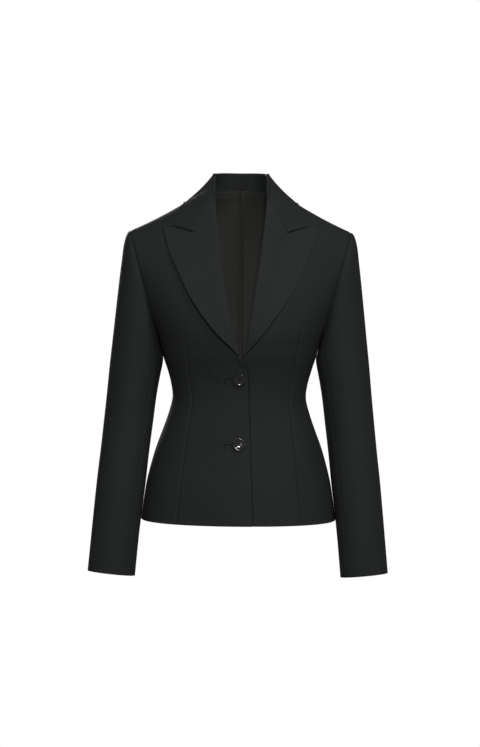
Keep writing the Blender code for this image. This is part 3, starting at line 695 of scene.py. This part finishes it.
for hand, mirror in HANDS.items():
    for part, surface, away, edges, creases in (
            ("front", front_surface(mirror, FRONT_DARTS[hand]), 1, ["last", "top"], FRONT_CREASES),
            ("back", back_surface, -1, ["first", "last", "top"], BACK_CREASES)):
        across, turn = np.meshgrid(COLUMNS[part], PANEL_ROWS)
        face = surface(across, turn)
        facing = away * normals(surface, across, turn)
        dips = creased(face[..., 0], face[..., 2], creases[hand])
        dips = dips + dart_dip(face, COLUMNS[part], DART_DEPTH[hand], DART_FADE[hand])
        if part == "front":
            dips = dips + lapel_press(face, COLUMNS[part], *LAPEL_SHADE[hand])
            dips = dips + (edge_press(face) if hand == "left" else
                           buttonhole_slit(face) - edge_swell(face))
        piece = sheet(f"{part}_cloth_{hand}", trimmed(face, edges), facing, CLOTH, WOOL,
                      mirror, edges, dips)
        dress(piece, f"{part}_{hand}")

# %% [markdown]
# ## Sleeves
#
# A tailored sleeve is two pieces: a wide top sleeve and a narrow under sleeve, with one seam at
# the front and one behind the elbow. Its head is a little fuller than the armhole and stands up
# next to the seam. The sections are ovals between an outer and an inner line down the arm.

# %% Sleeves
SLEEVE = table("outer_x outer_z inner_x inner_z middle tilt front back lean", [
    (193.5, -48, 143.5, -238, 3.5, 1.5, 54, 56, 0),
    (198.6, -52, 142.35, -241.5, 3.5, 1.5, 56, 58, 0),
    (202.6, -61, 141.25, -245.5, 3, 1.5, 57.5, 59.5, 0),
    (206.2, -77, 140.0, -250.5, 3, 1.4, 58.5, 60.5, 0),
    (209.2, -102, 138.55, -256, 2.5, 1.2, 59, 61, 0),
    (213.0, -134, 136.85, -262.5, 2, 1, 59, 61, 0),
    (218.0, -180, 134.6, -271, 1.5, .8, 58.5, 60.5, 0),
    (223.5, -232, 135.5, -283, 1, .5, 58, 59.5, 0),
    (229.0, -284, 139.9, -305, 0, 0, 57, 58, 0),
    (233.2, -329, 145.7, -339, -1, 0, 55, 56, -.01),
    (238.0, -377, 151.6, -386.5, -2.5, 0, 52.5, 53, -.02),
    (243.6, -432, 158.2, -441, -9, 0, 50, 50, -.03),
    (250.0, -490, 164.2, -499, -17.5, 0, 47.5, 47, -.05),
    (257.2, -566, 173.4, -575, -25, 0, 45.5, 45, -.07),
    (264.7, -648, 181.0, -656.5, -31, 0, 43.5, 43.5, -.08)])
FRONT_SEAM, ELBOW_SEAM = 135.0, -120.0     # degrees from the outer line of the sleeve
# direction square to the armhole's line, towards the body
INTO_ARMHOLE = direction(np.cross([0, 1, 0], np.subtract(UNDERARM, SHOULDER_TIP) * (1, 0, 1)))
SLEEVE_CLEAR = 0.45                        # from the armhole to the head of the sleeve
# the edge of the head is turned in under the armhole and pressed down, a little more in front,
# over a small share of the sleeve's length
HEAD_TURN, HEAD_DIP, HEAD_FRONT, HEAD_SHARE = 3.8, 2.0, .4, .014
CREASES_FROM = (.02, .12)                  # the creases come in between these, below the head
SLEEVE_ROWS = np.linspace(0, 1, 200) ** 1.12       # a little closer near the head
SLEEVE_HALVES = {"top_sleeve": (ELBOW_SEAM, FRONT_SEAM, 84),
                 "under_sleeve": (FRONT_SEAM, 360 + ELBOW_SEAM, 36)}


def sleeve_surface(angle, along):
    """Sleeve: cosine of the angle from the inner to the outer line, sine from back to front."""
    rows = dict(SLEEVE, place=np.linspace(0, 1, len(SLEEVE["middle"])))
    value = {name: read(rows, "place", name, along) for name in SLEEVE}
    cosine, sine = np.cos(angle), np.sin(angle)
    reach = np.where(sine > 0, -value["front"], -value["back"]) * sine
    x = (value["outer_x"] + value["inner_x"]) / 2 + (value["outer_x"] - value["inner_x"]) / 2 * cosine
    z = (value["outer_z"] + value["inner_z"]) / 2 + (value["outer_z"] - value["inner_z"]) / 2 * cosine
    y = value["middle"] + value["tilt"] * cosine + reach
    return np.stack([x, y, z + value["lean"] * reach], -1)


# angle and height of both ends of each crease, with a degree of angle counted as a millimetre
SLEEVE_CREASES = {
    "right": [(96, -300, 150, -352, 11, 1.3), (100, -330, 152, -372, 9, .9), (60, -120, 86, -236, 12, .8),
              (20, -250, 44, -420, 17, .7), (-60, -330, -110, -376, 11, 1.2), (34, -480, 58, -600, 14, .5),
              (-30, -150, -62, -262, 13, .7), (112, -400, 84, -500, 13, .6)],
    "left": [(92, -316, 148, -350, 10, 1.1), (104, -350, 154, -396, 10, .9), (52, -150, 84, -270, 13, .8),
             (24, -300, 52, -450, 16, .7), (-64, -318, -112, -352, 10, 1.1), (40, -500, 20, -610, 15, .5),
             (-24, -180, -60, -300, 12, .7), (106, -430, 88, -540, 12, .5)]}

for hand, mirror in HANDS.items():
    for part, (first, last, columns) in SLEEVE_HALVES.items():
        degrees, along = np.meshgrid(np.linspace(first, last, columns), SLEEVE_ROWS)
        face = sleeve_surface(np.radians(degrees), along)
        facing = normals(sleeve_surface, np.radians(degrees), along)
        face -= INTO_ARMHOLE * SLEEVE_CLEAR
        face[0] += INTO_ARMHOLE * HEAD_TURN
        pressed = HEAD_DIP + HEAD_FRONT * np.sin(np.radians(degrees))
        face -= facing * (pressed * (1 - step(along, 0, HEAD_SHARE)))[..., None]
        dips = creased(degrees, face[..., 2], SLEEVE_CREASES[hand]) * step(along, *CREASES_FROM)
        piece = sheet(f"{part}_cloth_{hand}", trimmed(face, ["first", "last"]), facing, CLOTH, WOOL,
                      mirror, ["first", "last", "bottom"], dips)
        dress(piece, f"{part}_{hand}")

# %% [markdown]
# ## Lapels
#
# The lapel is the top of the front turned back on itself. It turns on a rounded roll, not a
# sharp fold, and it springs a little way off the chest. Its outline is a smooth belly up to the
# peak, then the notch, then the gorge seam where the collar joins it.

# %% Lapels
ROLL = table("height across", [
    (-259, 2), (-251, 5), (-214, 13.8), (-184, 19.8), (-140, 26.4), (-107, 31.6),
    (-62, 37.1), (-24, 41.6), (9, 44)])
GORGE = table("height across", [(9, 46.9), (-16, 63), (-51, 80.2)])
COLLAR_TIP = (117.3, -40.0)
ROLL_RADIUS, LAPEL_LIFT, LAPEL_REST = 2.9, 4.4, 2.6
LAPEL_ROWS = np.linspace(0, 1, 130)
NOTCH_SHARE = 0.45
LAPEL_COLUMNS = np.concatenate([np.linspace(0, NOTCH_SHARE, 26), np.linspace(NOTCH_SHARE, 1, 32)[1:]])
ROLL_TURNS = np.radians(np.linspace(180, 12, 12))


def patch(left, right, bottom, top, u, v):
    """Flat grid blended from its four edges: both pairs of opposite edges, less the corners."""
    u, v = u[..., None], v[..., None]
    corner = ((1 - u) * (1 - v) * left[:1, None] + u * (1 - v) * right[:1, None]
              + (1 - u) * v * left[-1:, None] + u * v * right[-1:, None])
    return ((1 - u) * left[:, None] + u * right[:, None]
            + (1 - v) * bottom[None] + v * top[None] - corner)


def line(rows, share):
    """Points (x, z) at even steps of height along a line of the front view."""
    z = rows["height"][0] + (rows["height"][-1] - rows["height"][0]) * share
    ordered = {k: v[np.argsort(rows["height"])] for k, v in rows.items()}
    return np.stack([read(ordered, "height", "across", z), z], -1)


def lapel_top():
    """Upper edge of the lapel: down the gorge to the notch, and up to the peak."""
    notch = LAPEL_COLUMNS <= NOTCH_SHARE
    gorge = line(GORGE, LAPEL_COLUMNS[notch] / NOTCH_SHARE)
    peak = line(LAPEL_EDGE, np.array([1.0]))
    share = ((LAPEL_COLUMNS[~notch] - NOTCH_SHARE) / (1 - NOTCH_SHARE))[:, None]
    return np.concatenate([gorge, gorge[-1] + (peak - gorge[-1]) * share])


# how far the belly of each lapel springs off the chest at its edge, and the powers of the shares
# across and up that it grows by
SPRING = {"right": 6.0, "left": 2.4}
SPRING_ACROSS, SPRING_UP = .8, .42


def lapel_grid(layer, spring):
    """Outer face of a lapel and its directions: half a turn of the roll, then the part that lies
    over the chest, each point lifted square off the front. The edge springs off the chest in
    the shape of a sine between the peak and the break."""
    u, v = np.meshgrid(LAPEL_COLUMNS, LAPEL_ROWS)
    roll, edge = line(ROLL, LAPEL_ROWS), line(LAPEL_EDGE, LAPEL_ROWS)
    roll[:, 0] += ROLL_RADIUS
    bottom = roll[0] + (edge[0] - roll[0]) * LAPEL_COLUMNS[:, None]
    top = lapel_top()
    top[0] = roll[-1]
    flat = patch(roll, edge, bottom, top, u, v)
    x, z = flat[..., 0], flat[..., 1]
    face, square = body_from_front(x, z), front_normals(x, z)
    lift = LAPEL_REST + (LAPEL_LIFT - LAPEL_REST) * (1 - u) ** 2
    lift = lift + spring * u ** SPRING_ACROSS * np.sin(math.pi * v ** SPRING_UP)
    laid = face + square * lift[..., None]
    turned = ROLL_TURNS[None, :, None]
    middle = face[:, :1] + square[:, :1] * (LAPEL_LIFT - ROLL_RADIUS)
    sideways = direction(np.cross(square[:, :1], direction(np.gradient(laid[:, :1], axis=0))))
    spoke = np.cos(turned) * square[:, :1] + np.sin(turned) * sideways
    outer = np.concatenate([middle + spoke * ROLL_RADIUS, laid], 1)
    outer[..., 1] += lap_shift(outer, layer)
    return trimmed(crossed(outer, layer), ["top"], GORGE_GAP), np.concatenate([spoke, square], 1)


for hand, mirror in HANDS.items():
    face, facing = lapel_grid(mirror, SPRING[hand])
    dress(sheet(f"lapel_cloth_{hand}", face, facing, CLOTH, LAPEL_WOOL_LIT, mirror), f"lapel_{hand}")

# %% [markdown]
# ## Collar
#
# The collar is a fall outside and a stand inside, folded along the top. It runs from the gorge
# seam of one lapel round the back of the neck to the other. Seven sections on one side carry it.

# %% Collar
COLLAR = table("fold_x fold_y fold_z neck_x neck_y neck_z edge_x edge_z behind", [
    (0, 66, 51.3, 0, 73, 22.5, 0, 2, 1),
    (25, 60, 51.6, 31, 62, 23, 40, 0, 1),
    (41.5, 42, 51, 50, 40, 24.5, 74, -1, 1),
    (46.5, 25, 50, 56, 22, 25.5, 84, 6, 1),
    (47.5, 8, 49.5, 58.6, 5, 26, 89, 0, 0),
    (47.4, -13, 31, 52.2, -15, 18, 103, -7, -1),
    (46.9, -31, 9, 48.9, -30, 11.4, 110, -19, -1)])
COLLAR_LIFT, COLLAR_HOLLOW, STAND_BACK = 3.0, 1.2, 1.3
BACK_OUT = np.array([0, .9, .44])     # away from the back, below the collar
STAND_SHARE = .96                     # share of the way up at which the band meets the fold
STAND_BELOW, STAND_TUCK = .32, 3.2    # at the sides its lower edge reaches lower, and is tucked in
TUCK_START, TUCK_END = (.02, .16), (.48, .64)
NECK_ROWS, GORGE_ROWS, FALL_COLUMNS, STAND_COLUMNS, FOLD_COLUMNS = 90, 30, 40, 18, 16


def lifted(x, z, behind, lift):
    """Point over the back (1), the shoulder line (0) or the front (-1) of the body."""
    if behind == 0:
        height = RIDGE_TOP + (SHOULDER_TIP[2] - RIDGE_TOP) * shoulder_line(x / SHOULDER_TIP[0])
        return np.array([x, SHOULDER_TIP[1], height + lift])
    out = front_normals(x, z) if behind < 0 else BACK_OUT
    return body_from_front(x, z, behind) + out * lift


def collar_rows():
    """Sections of the collar on one side: fold, neck and outer edge, with the directions out to
    the edge and up over the fold."""
    edge = np.array([lifted(*place, COLLAR_LIFT) for place in
                     zip(COLLAR["edge_x"], COLLAR["edge_z"], COLLAR["behind"])])
    fold, neck = (np.stack([COLLAR[f"{name}_{axis}"] for axis in "xyz"], -1)
                  for name in ("fold", "neck"))
    out = direction((edge - fold) * (1, 1, 0))
    top = np.tile([0.0, 0, 1], (len(fold), 1))
    fold[-1] = lifted(fold[-1, 0], fold[-1, 2], -1, LAPEL_LIFT - ROLL_RADIUS)
    neck[-1] = lifted(neck[-1, 0], neck[-1, 2], -1, -CLOTH)
    out[-1] = front_normals(fold[-1, 0], fold[-1, 2])
    top[-1] = direction(np.cross(out[-1], np.cross((-1, 0, 0), out[-1])))
    out[-2], top[-2] = direction(out[-3] * 2 + out[-1]), direction(top[-3] * 2 + top[-1])
    return fold, neck, edge, out, top


def through(rows, at):
    """Points at even steps along a curve through a row of sections."""
    place = np.linspace(0, 1, len(rows))
    columns = [read({"place": place, "value": rows[:, k]}, "place", "value", at)
               for k in range(rows.shape[1])]
    return np.stack(columns, -1)


def both_sides(half):
    """Rows from one end of the collar, round the centre back, to the other end."""
    return np.concatenate([half[:0:-1] * (-1, 1, 1), half])


def fall_surface():
    """Outer face of the fall: straight from the fold to the edge with a slight hollow, blended
    near the gorge into a sheet that lies over the front as the lapel does."""
    fold, _, edge, out, _ = collar_rows()
    at, along_gorge = np.linspace(0, 1, NECK_ROWS + 1), np.linspace(0, 1, GORGE_ROWS + 1)[1:]
    seam = line(GORGE, along_gorge)
    laid = body_from_front(seam[:, 0], seam[:, 1])
    lift = LAPEL_LIFT + (LAPEL_REST - LAPEL_LIFT) * (1 - (1 - along_gorge * NOTCH_SHARE) ** 2)
    laid = laid + front_normals(seam[:, 0], seam[:, 1]) * lift[:, None]
    first = np.concatenate([through(fold + out * ROLL_RADIUS, at), laid])[:, None]
    tip = lifted(*COLLAR_TIP, -1, COLLAR_LIFT)
    end = edge[-1] + (tip - edge[-1]) * along_gorge[:, None]
    last = np.concatenate([through(edge, at), end])[:, None]
    hug = np.concatenate([step(at, .6, 1), np.ones(GORGE_ROWS)])[:, None, None]
    r = np.linspace(0, 1, FALL_COLUMNS)[:, None]
    outward = direction(direction((last - first) * (1, 1, 0)) + (0, 0, 1))
    straight = first + (last - first) * r
    loose = straight - outward * COLLAR_HOLLOW * 4 * r * (1 - r)
    x, z = straight[..., 0], straight[..., 2]
    lift = COLLAR_LIFT + (LAPEL_LIFT - COLLAR_LIFT) * (1 - r[:, 0]) ** 2
    close = body_from_front(x, z) + front_normals(x, z) * lift[:, None]
    close[:, 0] = first[:, 0]
    return loose + (close - loose) * hug


def grid_normals(grid):
    """Direction square to a grid, from its neighbouring points."""
    along, across = (np.gradient(grid, axis=axis, edge_order=2) for axis in (0, 1))
    return direction(np.cross(along, across))


def stand_grid():
    """Band inside the neck: up from the neck seam, then half a turn over the fold."""
    at = np.linspace(0, 1, NECK_ROWS + 1)
    fold, neck, _, out, top = (through(rows, at)[:, None] for rows in collar_rows())
    out, top = direction(out), direction(top)
    below = STAND_BELOW * step(at, *TUCK_START) * (1 - step(at, *TUCK_END))
    down = np.linspace(1, 0, STAND_COLUMNS)[:, None]
    rise = STAND_SHARE - (STAND_SHARE + below[:, None, None]) * down
    band = neck + (fold - out * ROLL_RADIUS - neck) * rise
    band += out * STAND_TUCK * np.minimum(rise, 0) / STAND_BELOW
    turned = np.radians(np.linspace(0, 180, FOLD_COLUMNS))[:, None]
    spoke = np.sin(turned) * top - np.cos(turned) * out
    face = both_sides(np.concatenate([band, fold + spoke * ROLL_RADIUS], 1))
    facing = both_sides(np.concatenate([np.repeat(-out, rise.shape[1], 1), spoke], 1))
    return trimmed(trimmed(face, ["last"]), ["bottom", "top"], STAND_BACK), facing


fall = both_sides(fall_surface())
piece = sheet("collar_fall_cloth", trimmed(fall, ["first"]), grid_normals(fall), CLOTH, WOOL)
dress(piece, "collar_fall")
piece = sheet("collar_stand_cloth", *stand_grid(), CLOTH, WOOL, 1, ["first"])
dress(piece, "collar_stand")

# %% [markdown]
# ## Lining
#
# Inside the neck the lining of the back shows. It is cut wider than the back, and the spare width
# is laid in a pleat down the centre, so that the arms can reach forward.

# %% Lining of the back
LINING_LIFT = 3.0
LINING_SINK, SINK_FROM = 1.6, .93      # its top is pressed to the back from this share up
PLEAT_HALF, PLEAT_DEPTH = 7.0, 2.2
FOLD_SHARE, FOLD_AT, FOLD_FLAT = .8, (-.2, .5), 2      # the folded edge on one side of the pleat
LINING_SIDE = 1.15
LINING_LOW, LINING_HIGH = -.19, .997
LINING_TOP = 4.5          # how far the lining's top reaches above the neck seam, under the stand


def lining_surface(across, share):
    """Face of the back over the lining: -1 and 1 at its sides, 0 at its lower edge."""
    angle = np.abs(across) * LINING_SIDE
    turn = below_neck(angle, LINING_LOW + (LINING_HIGH - LINING_LOW) * share,
                      BACK_NECK + LINING_TOP)
    points = on_body(angle, turn, 1)
    points[..., 0] *= np.where(across < 0, -1, 1)
    return points


side_steps = np.concatenate([np.linspace(.0, .1, 26), np.linspace(.1, 1, 32)[1:]])
across, share = np.meshgrid(np.concatenate([-side_steps[:0:-1], side_steps]), np.linspace(0, 1, 110))
under, inward = lining_surface(across, share), normals(lining_surface, across, share)
pleat = PLEAT_DEPTH * np.clip(1 - np.abs(under[..., 0]) / PLEAT_HALF, 0, 1)
lift = LINING_LIFT + LINING - LINING_SINK * step(share, SINK_FROM, 1)
fold_edge = PLEAT_DEPTH * FOLD_SHARE * step(under[..., 0], *FOLD_AT)
fold_edge = fold_edge * (1 - step(under[..., 0], FOLD_FLAT, PLEAT_HALF))
inner_face = under + inward * (lift + pleat + fold_edge)[..., None]
piece = sheet("back_lining_cloth", inner_face, inward, LINING, LINING_CLOTH)
dress(piece, "back_lining")

# %% [markdown]
# ## Buttons
#
# The buttons are turned from black horn-like plastic and polished: a raised round rim, a shallow
# dish and four holes. The face is a height worked out on rings and spokes, and each hole is a
# well whose steep side is a smooth step of the distance from the hole's middle.

# %% Polished button
BUTTON_GAP = 1.0
BUTTON_SECTION = table("out depth", [
    (0, 1.9), (3.4, 2.0), (6.4, 2.5), (8.4, 3.3), (9.7, 4.2), (10.5, 4.1), (11.1, 3.0),
    (10.8, 1.4), (8.0, 0.3), (0, 0)])
HOLE_RADIUS, HOLE_OUT, HOLE_DEPTH = 1.1, 2.3, 1.5
SOFT_IN, SOFT_OUT = .25, .12           # the hole's edge is rounded this far to both sides
FACE_SHARE = .25                       # only this share of the profile has the holes in it
SPOKES = 112

polished, nodes, links = new_finish("polished_button")
shader = nodes["Principled BSDF"]
place = add(nodes, "ShaderNodeTexCoord")
swirl = add(nodes, "ShaderNodeTexNoise", i2=260.0, i3=5.0)
links.new(place.outputs["Object"], swirl.inputs["Vector"])
two_tones(nodes, links, swirl.outputs["Fac"], (.0025, .0028, .0028), (.009, .0098, .0095))
links.new(sums(nodes, links, "MULTIPLY", swirl.outputs["Fac"], .22), shader.inputs["Roughness"])
shader.inputs["Specular IOR Level"].default_value = .5
shader.inputs["Coat Weight"].default_value = .15
shader.inputs["Coat Roughness"].default_value = .06


def button_face(ring, spoke):
    """Button: its profile turned round, less four wells. ring runs from the middle of the face
    over the rim to the middle of the back, and spoke is the angle."""
    rows = dict(BUTTON_SECTION, place=np.linspace(0, 1, len(BUTTON_SECTION["out"])))
    out = np.maximum(read(rows, "place", "out", ring), 0)
    depth = read(rows, "place", "depth", ring)
    x, y = out * np.cos(spoke), out * np.sin(spoke)
    for k in range(4):
        angle = QUARTER * (k + .5)
        apart = np.hypot(x - HOLE_OUT * math.cos(angle), y - HOLE_OUT * math.sin(angle))
        well = 1 - step(apart, HOLE_RADIUS - SOFT_IN, HOLE_RADIUS + SOFT_OUT)
        depth = depth - HOLE_DEPTH * well * (ring < FACE_SHARE)
    return np.stack([x, y, depth], -1)


def placed(points, height, above):
    """Turns points from a button's own plane onto the front, at a height, above the cloth."""
    out = front_normals(0.0, height)
    base = body_from_front(0.0, height) - (0, LAP_STEP, 0) + out * above
    right = direction(np.cross((0, 0, 1), out))
    up = np.cross(out, right)
    return base + points[..., :1] * right + points[..., 1:2] * up + points[..., 2:] * out


# rings lie closer among the holes
rings = np.concatenate([np.linspace(.004, .11, 44), np.linspace(.11, .996, 52)[1:]])
ring, spoke = np.meshgrid(rings, np.linspace(0, 2 * math.pi, SPOKES + 1)[:-1], indexing="ij")
turned_button = button_face(ring, spoke)
index = np.arange(turned_button[..., 0].size).reshape(ring.shape)
beside = np.roll(index, -1, axis=1)
skin = np.stack([index[:-1], index[1:], beside[1:], beside[:-1]], -1).reshape(-1, 4)
poles = np.array([[0, 0, BUTTON_SECTION["depth"][0]], [0, 0, 0]])
caps = np.concatenate([
    np.stack([np.full(SPOKES, index.size), index[0], beside[0]], -1),
    np.stack([np.full(SPOKES, index.size + 1), beside[-1], index[-1]], -1)])
for name, height in BUTTON_HEIGHTS.items():
    points = placed(np.concatenate([turned_button.reshape(-1, 3), poles]), height, BUTTON_GAP)
    mesh = bpy.data.meshes.new(f"button_{name}_turned")
    mesh.from_pydata((points * MM).tolist(), [], skin.tolist() + caps.tolist())
    dress(finished(mesh, polished), f"button_{name}")
print("buttons across:", round(2 * max(BUTTON_SECTION["out"]), 1), "mm")

# %% [markdown]
# ## Thread
#
# Two bars of thread hold each button, and more of it wound round makes the shank below. The
# buttonhole is a slit edged with close knots, closed at its far end by a bar across. All of it
# is one tube function: a circle carried along a path.

# %% Thread
thread_finish, nodes, links = new_finish("black_silk_thread")
shader = nodes["Principled BSDF"]
place = add(nodes, "ShaderNodeTexCoord")
twist = add(nodes, "ShaderNodeTexWave", i1=1500.0, i2=2.0)
twist.bands_direction = "DIAGONAL"
links.new(place.outputs["Object"], twist.inputs["Vector"])
two_tones(nodes, links, twist.outputs["Fac"], (.003, .003, .003), (.009, .009, .0088))
shader.inputs["Roughness"].default_value = .7
shader.inputs["Specular IOR Level"].default_value = .15


def tube(path, radius, sides=6):
    """Points and faces of a tube: a circle in the plane square to the path, at each point."""
    ahead = direction(np.gradient(path, axis=0))
    aside = direction(np.cross(ahead, (.31, .22, .92)))
    above = np.cross(ahead, aside)
    turn = np.linspace(0, 2 * math.pi, sides, endpoint=False)[None, :, None]
    points = path[:, None] + radius * (np.cos(turn) * aside[:, None] + np.sin(turn) * above[:, None])
    index = np.arange(len(path) * sides).reshape(len(path), sides)
    beside = np.roll(index, -1, 1)
    skin = np.stack([index[:-1], beside[:-1], beside[1:], index[1:]], -1).reshape(-1, 4)
    return points.reshape(-1, 3), skin, (index[0][::-1], index[-1])


def tubes(name, paths, radius, finish):
    """One object from many tubes, with their ends closed."""
    points, faces, count = [], [], 0
    for path in paths:
        p, skin, ends = tube(np.asarray(path, float), radius)
        points.append(p)
        faces += (skin + count).tolist() + [(end + count).tolist() for end in ends]
        count += len(p)
    mesh = bpy.data.meshes.new(name)
    mesh.from_pydata((np.concatenate(points) * MM).tolist(), [], faces)
    piece = finished(mesh, finish)
    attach(piece, "root")
    return piece


THREAD_RADIUS = 0.22
STRANDS, STRAND_GAP = (-.3, .1, .5), .8        # three strands in each bar
BAR_HEIGHT, BAR_BOW, BAR_DIP = 2.0, .55, .9    # over the dish, bowed, with its ends in the holes
SHANK_RADIUS, SHANK_TURNS, SHANK_FROM, SHANK_LENGTH = 1.9, 4, .1, .8
bar = np.linspace(-1, 1, 9)
for name, height in BUTTON_HEIGHTS.items():
    paths = []
    for lane in (-1, 1):
        for strand in STRANDS:
            x = bar * HOLE_OUT * math.cos(QUARTER / 2)
            y = np.full_like(x, lane * HOLE_OUT * math.sin(QUARTER / 2) + strand * STRAND_GAP)
            bow = BAR_BOW * np.sqrt(np.clip(1 - bar ** 2, 0, 1))
            z = BAR_HEIGHT + bow - BAR_DIP * (np.abs(bar) == 1)
            paths.append(placed(np.stack([x, y, z], -1), height, BUTTON_GAP))
    wind = np.linspace(0, 1, 60)
    around = wind * SHANK_TURNS * 2 * math.pi
    shank = np.stack([SHANK_RADIUS * np.cos(around), SHANK_RADIUS * np.sin(around),
                      SHANK_FROM + wind * SHANK_LENGTH], -1)
    paths.append(placed(shank, height, 0.05))
    piece = tubes(f"button_thread_{name}", paths, THREAD_RADIUS, thread_finish)
    print(piece.name, len(piece.data.polygons), "faces")


SILK_RADIUS = 0.14
KNOT_STEP, KNOT_AWAY, KNOT_WIDE, KNOT_RISE = 0.62, .62, .3, .12
BAR_TOP, BAR_LENGTH, BAR_KNOTS = 1.6, 6.8, 14          # the bar across the slit's far end
for name, height in BUTTON_HEIGHTS.items():
    count = int((SLIT_FROM - SLIT_TO) / KNOT_STEP)
    paths = []
    for lip in (-1, 1):
        knots = np.linspace(SLIT_FROM, SLIT_TO, count * 4 + 1)
        phase = np.arange(len(knots)) / 4 * 2 * math.pi
        away = lip * (KNOT_AWAY + KNOT_WIDE * np.sin(phase))
        rise = KNOT_RISE + KNOT_RISE * np.cos(phase)
        place_on = body_from_front(knots, height + away)
        lift = front_normals(knots, height + away) * rise[:, None]
        paths.append(place_on + lift - (0, LAP_STEP, 0))
    rounds = np.linspace(0, 1, 4 * BAR_KNOTS + 1)
    phase = np.arange(len(rounds)) / 4 * 2 * math.pi
    x = SLIT_TO - .2 + .8 * np.sin(phase)
    z = height - BAR_TOP - rounds * BAR_LENGTH
    lift = front_normals(x, z) * (.35 + .2 * np.cos(phase))[:, None]
    paths.append(body_from_front(x, z) + lift - (0, LAP_STEP, 0))
    piece = tubes(f"buttonhole_{name}", paths, SILK_RADIUS, thread_finish)
    print(piece.name, count, "knots on each lip")

# %% [markdown]
# ## The sheets made
#
# The loop below goes through every sheet made above and reads the wearer's side from the end of its name.


for piece in made_sheets:
    hand = piece.name.rsplit("_", 1)[-1]

# %% [markdown]
# ## Light
#
# Black cloth needs a lot of soft light. The key stands high on the right of the picture, a wide
# weak lamp fills from the left, and one above the camera reaches down into the neck. The last one
# stands behind and only shows the back. The camera sees a white room, but only a part of that
# white lights the cloth.

# %% Room
ROOM_LIGHT = .25
MIDDLE = (0, 0, -.28)
bpy.context.scene.view_settings.view_transform = "Standard"
world = bpy.data.worlds.new("room")
bpy.context.scene.world = world
world.use_nodes = True
nodes, links = world.node_tree.nodes, world.node_tree.links
nodes["Background"].inputs[0].default_value = (1, 1, 1, 1)
ray = add(nodes, "ShaderNodeLightPath")
seen = sums(nodes, links, "MULTIPLY", ray.outputs["Is Camera Ray"], 1 - ROOM_LIGHT)
links.new(sums(nodes, links, "ADD", seen, ROOM_LIGHT), nodes["Background"].inputs[1])

# place, width, watts
LAMPS = {"key": ((1.7, -2.5, 2.6), 1.0, 92), "left": ((-1.0, -4.5, .6), 1.6, 18),
         "middle": ((.13, -4.4, 1.6), .45, 168), "behind": ((-1.2, 4.4, 1.3), 1.4, 190)}
for name, (place, size, watts) in LAMPS.items():
    lamp = bpy.data.lights.new(name, "AREA")
    lamp.size, lamp.energy = size, watts
    holder = bpy.data.objects.new(name, lamp)
    bpy.context.collection.objects.link(holder)
    look_at(holder, place, MIDDLE)
print("lamps:", list(LAMPS))
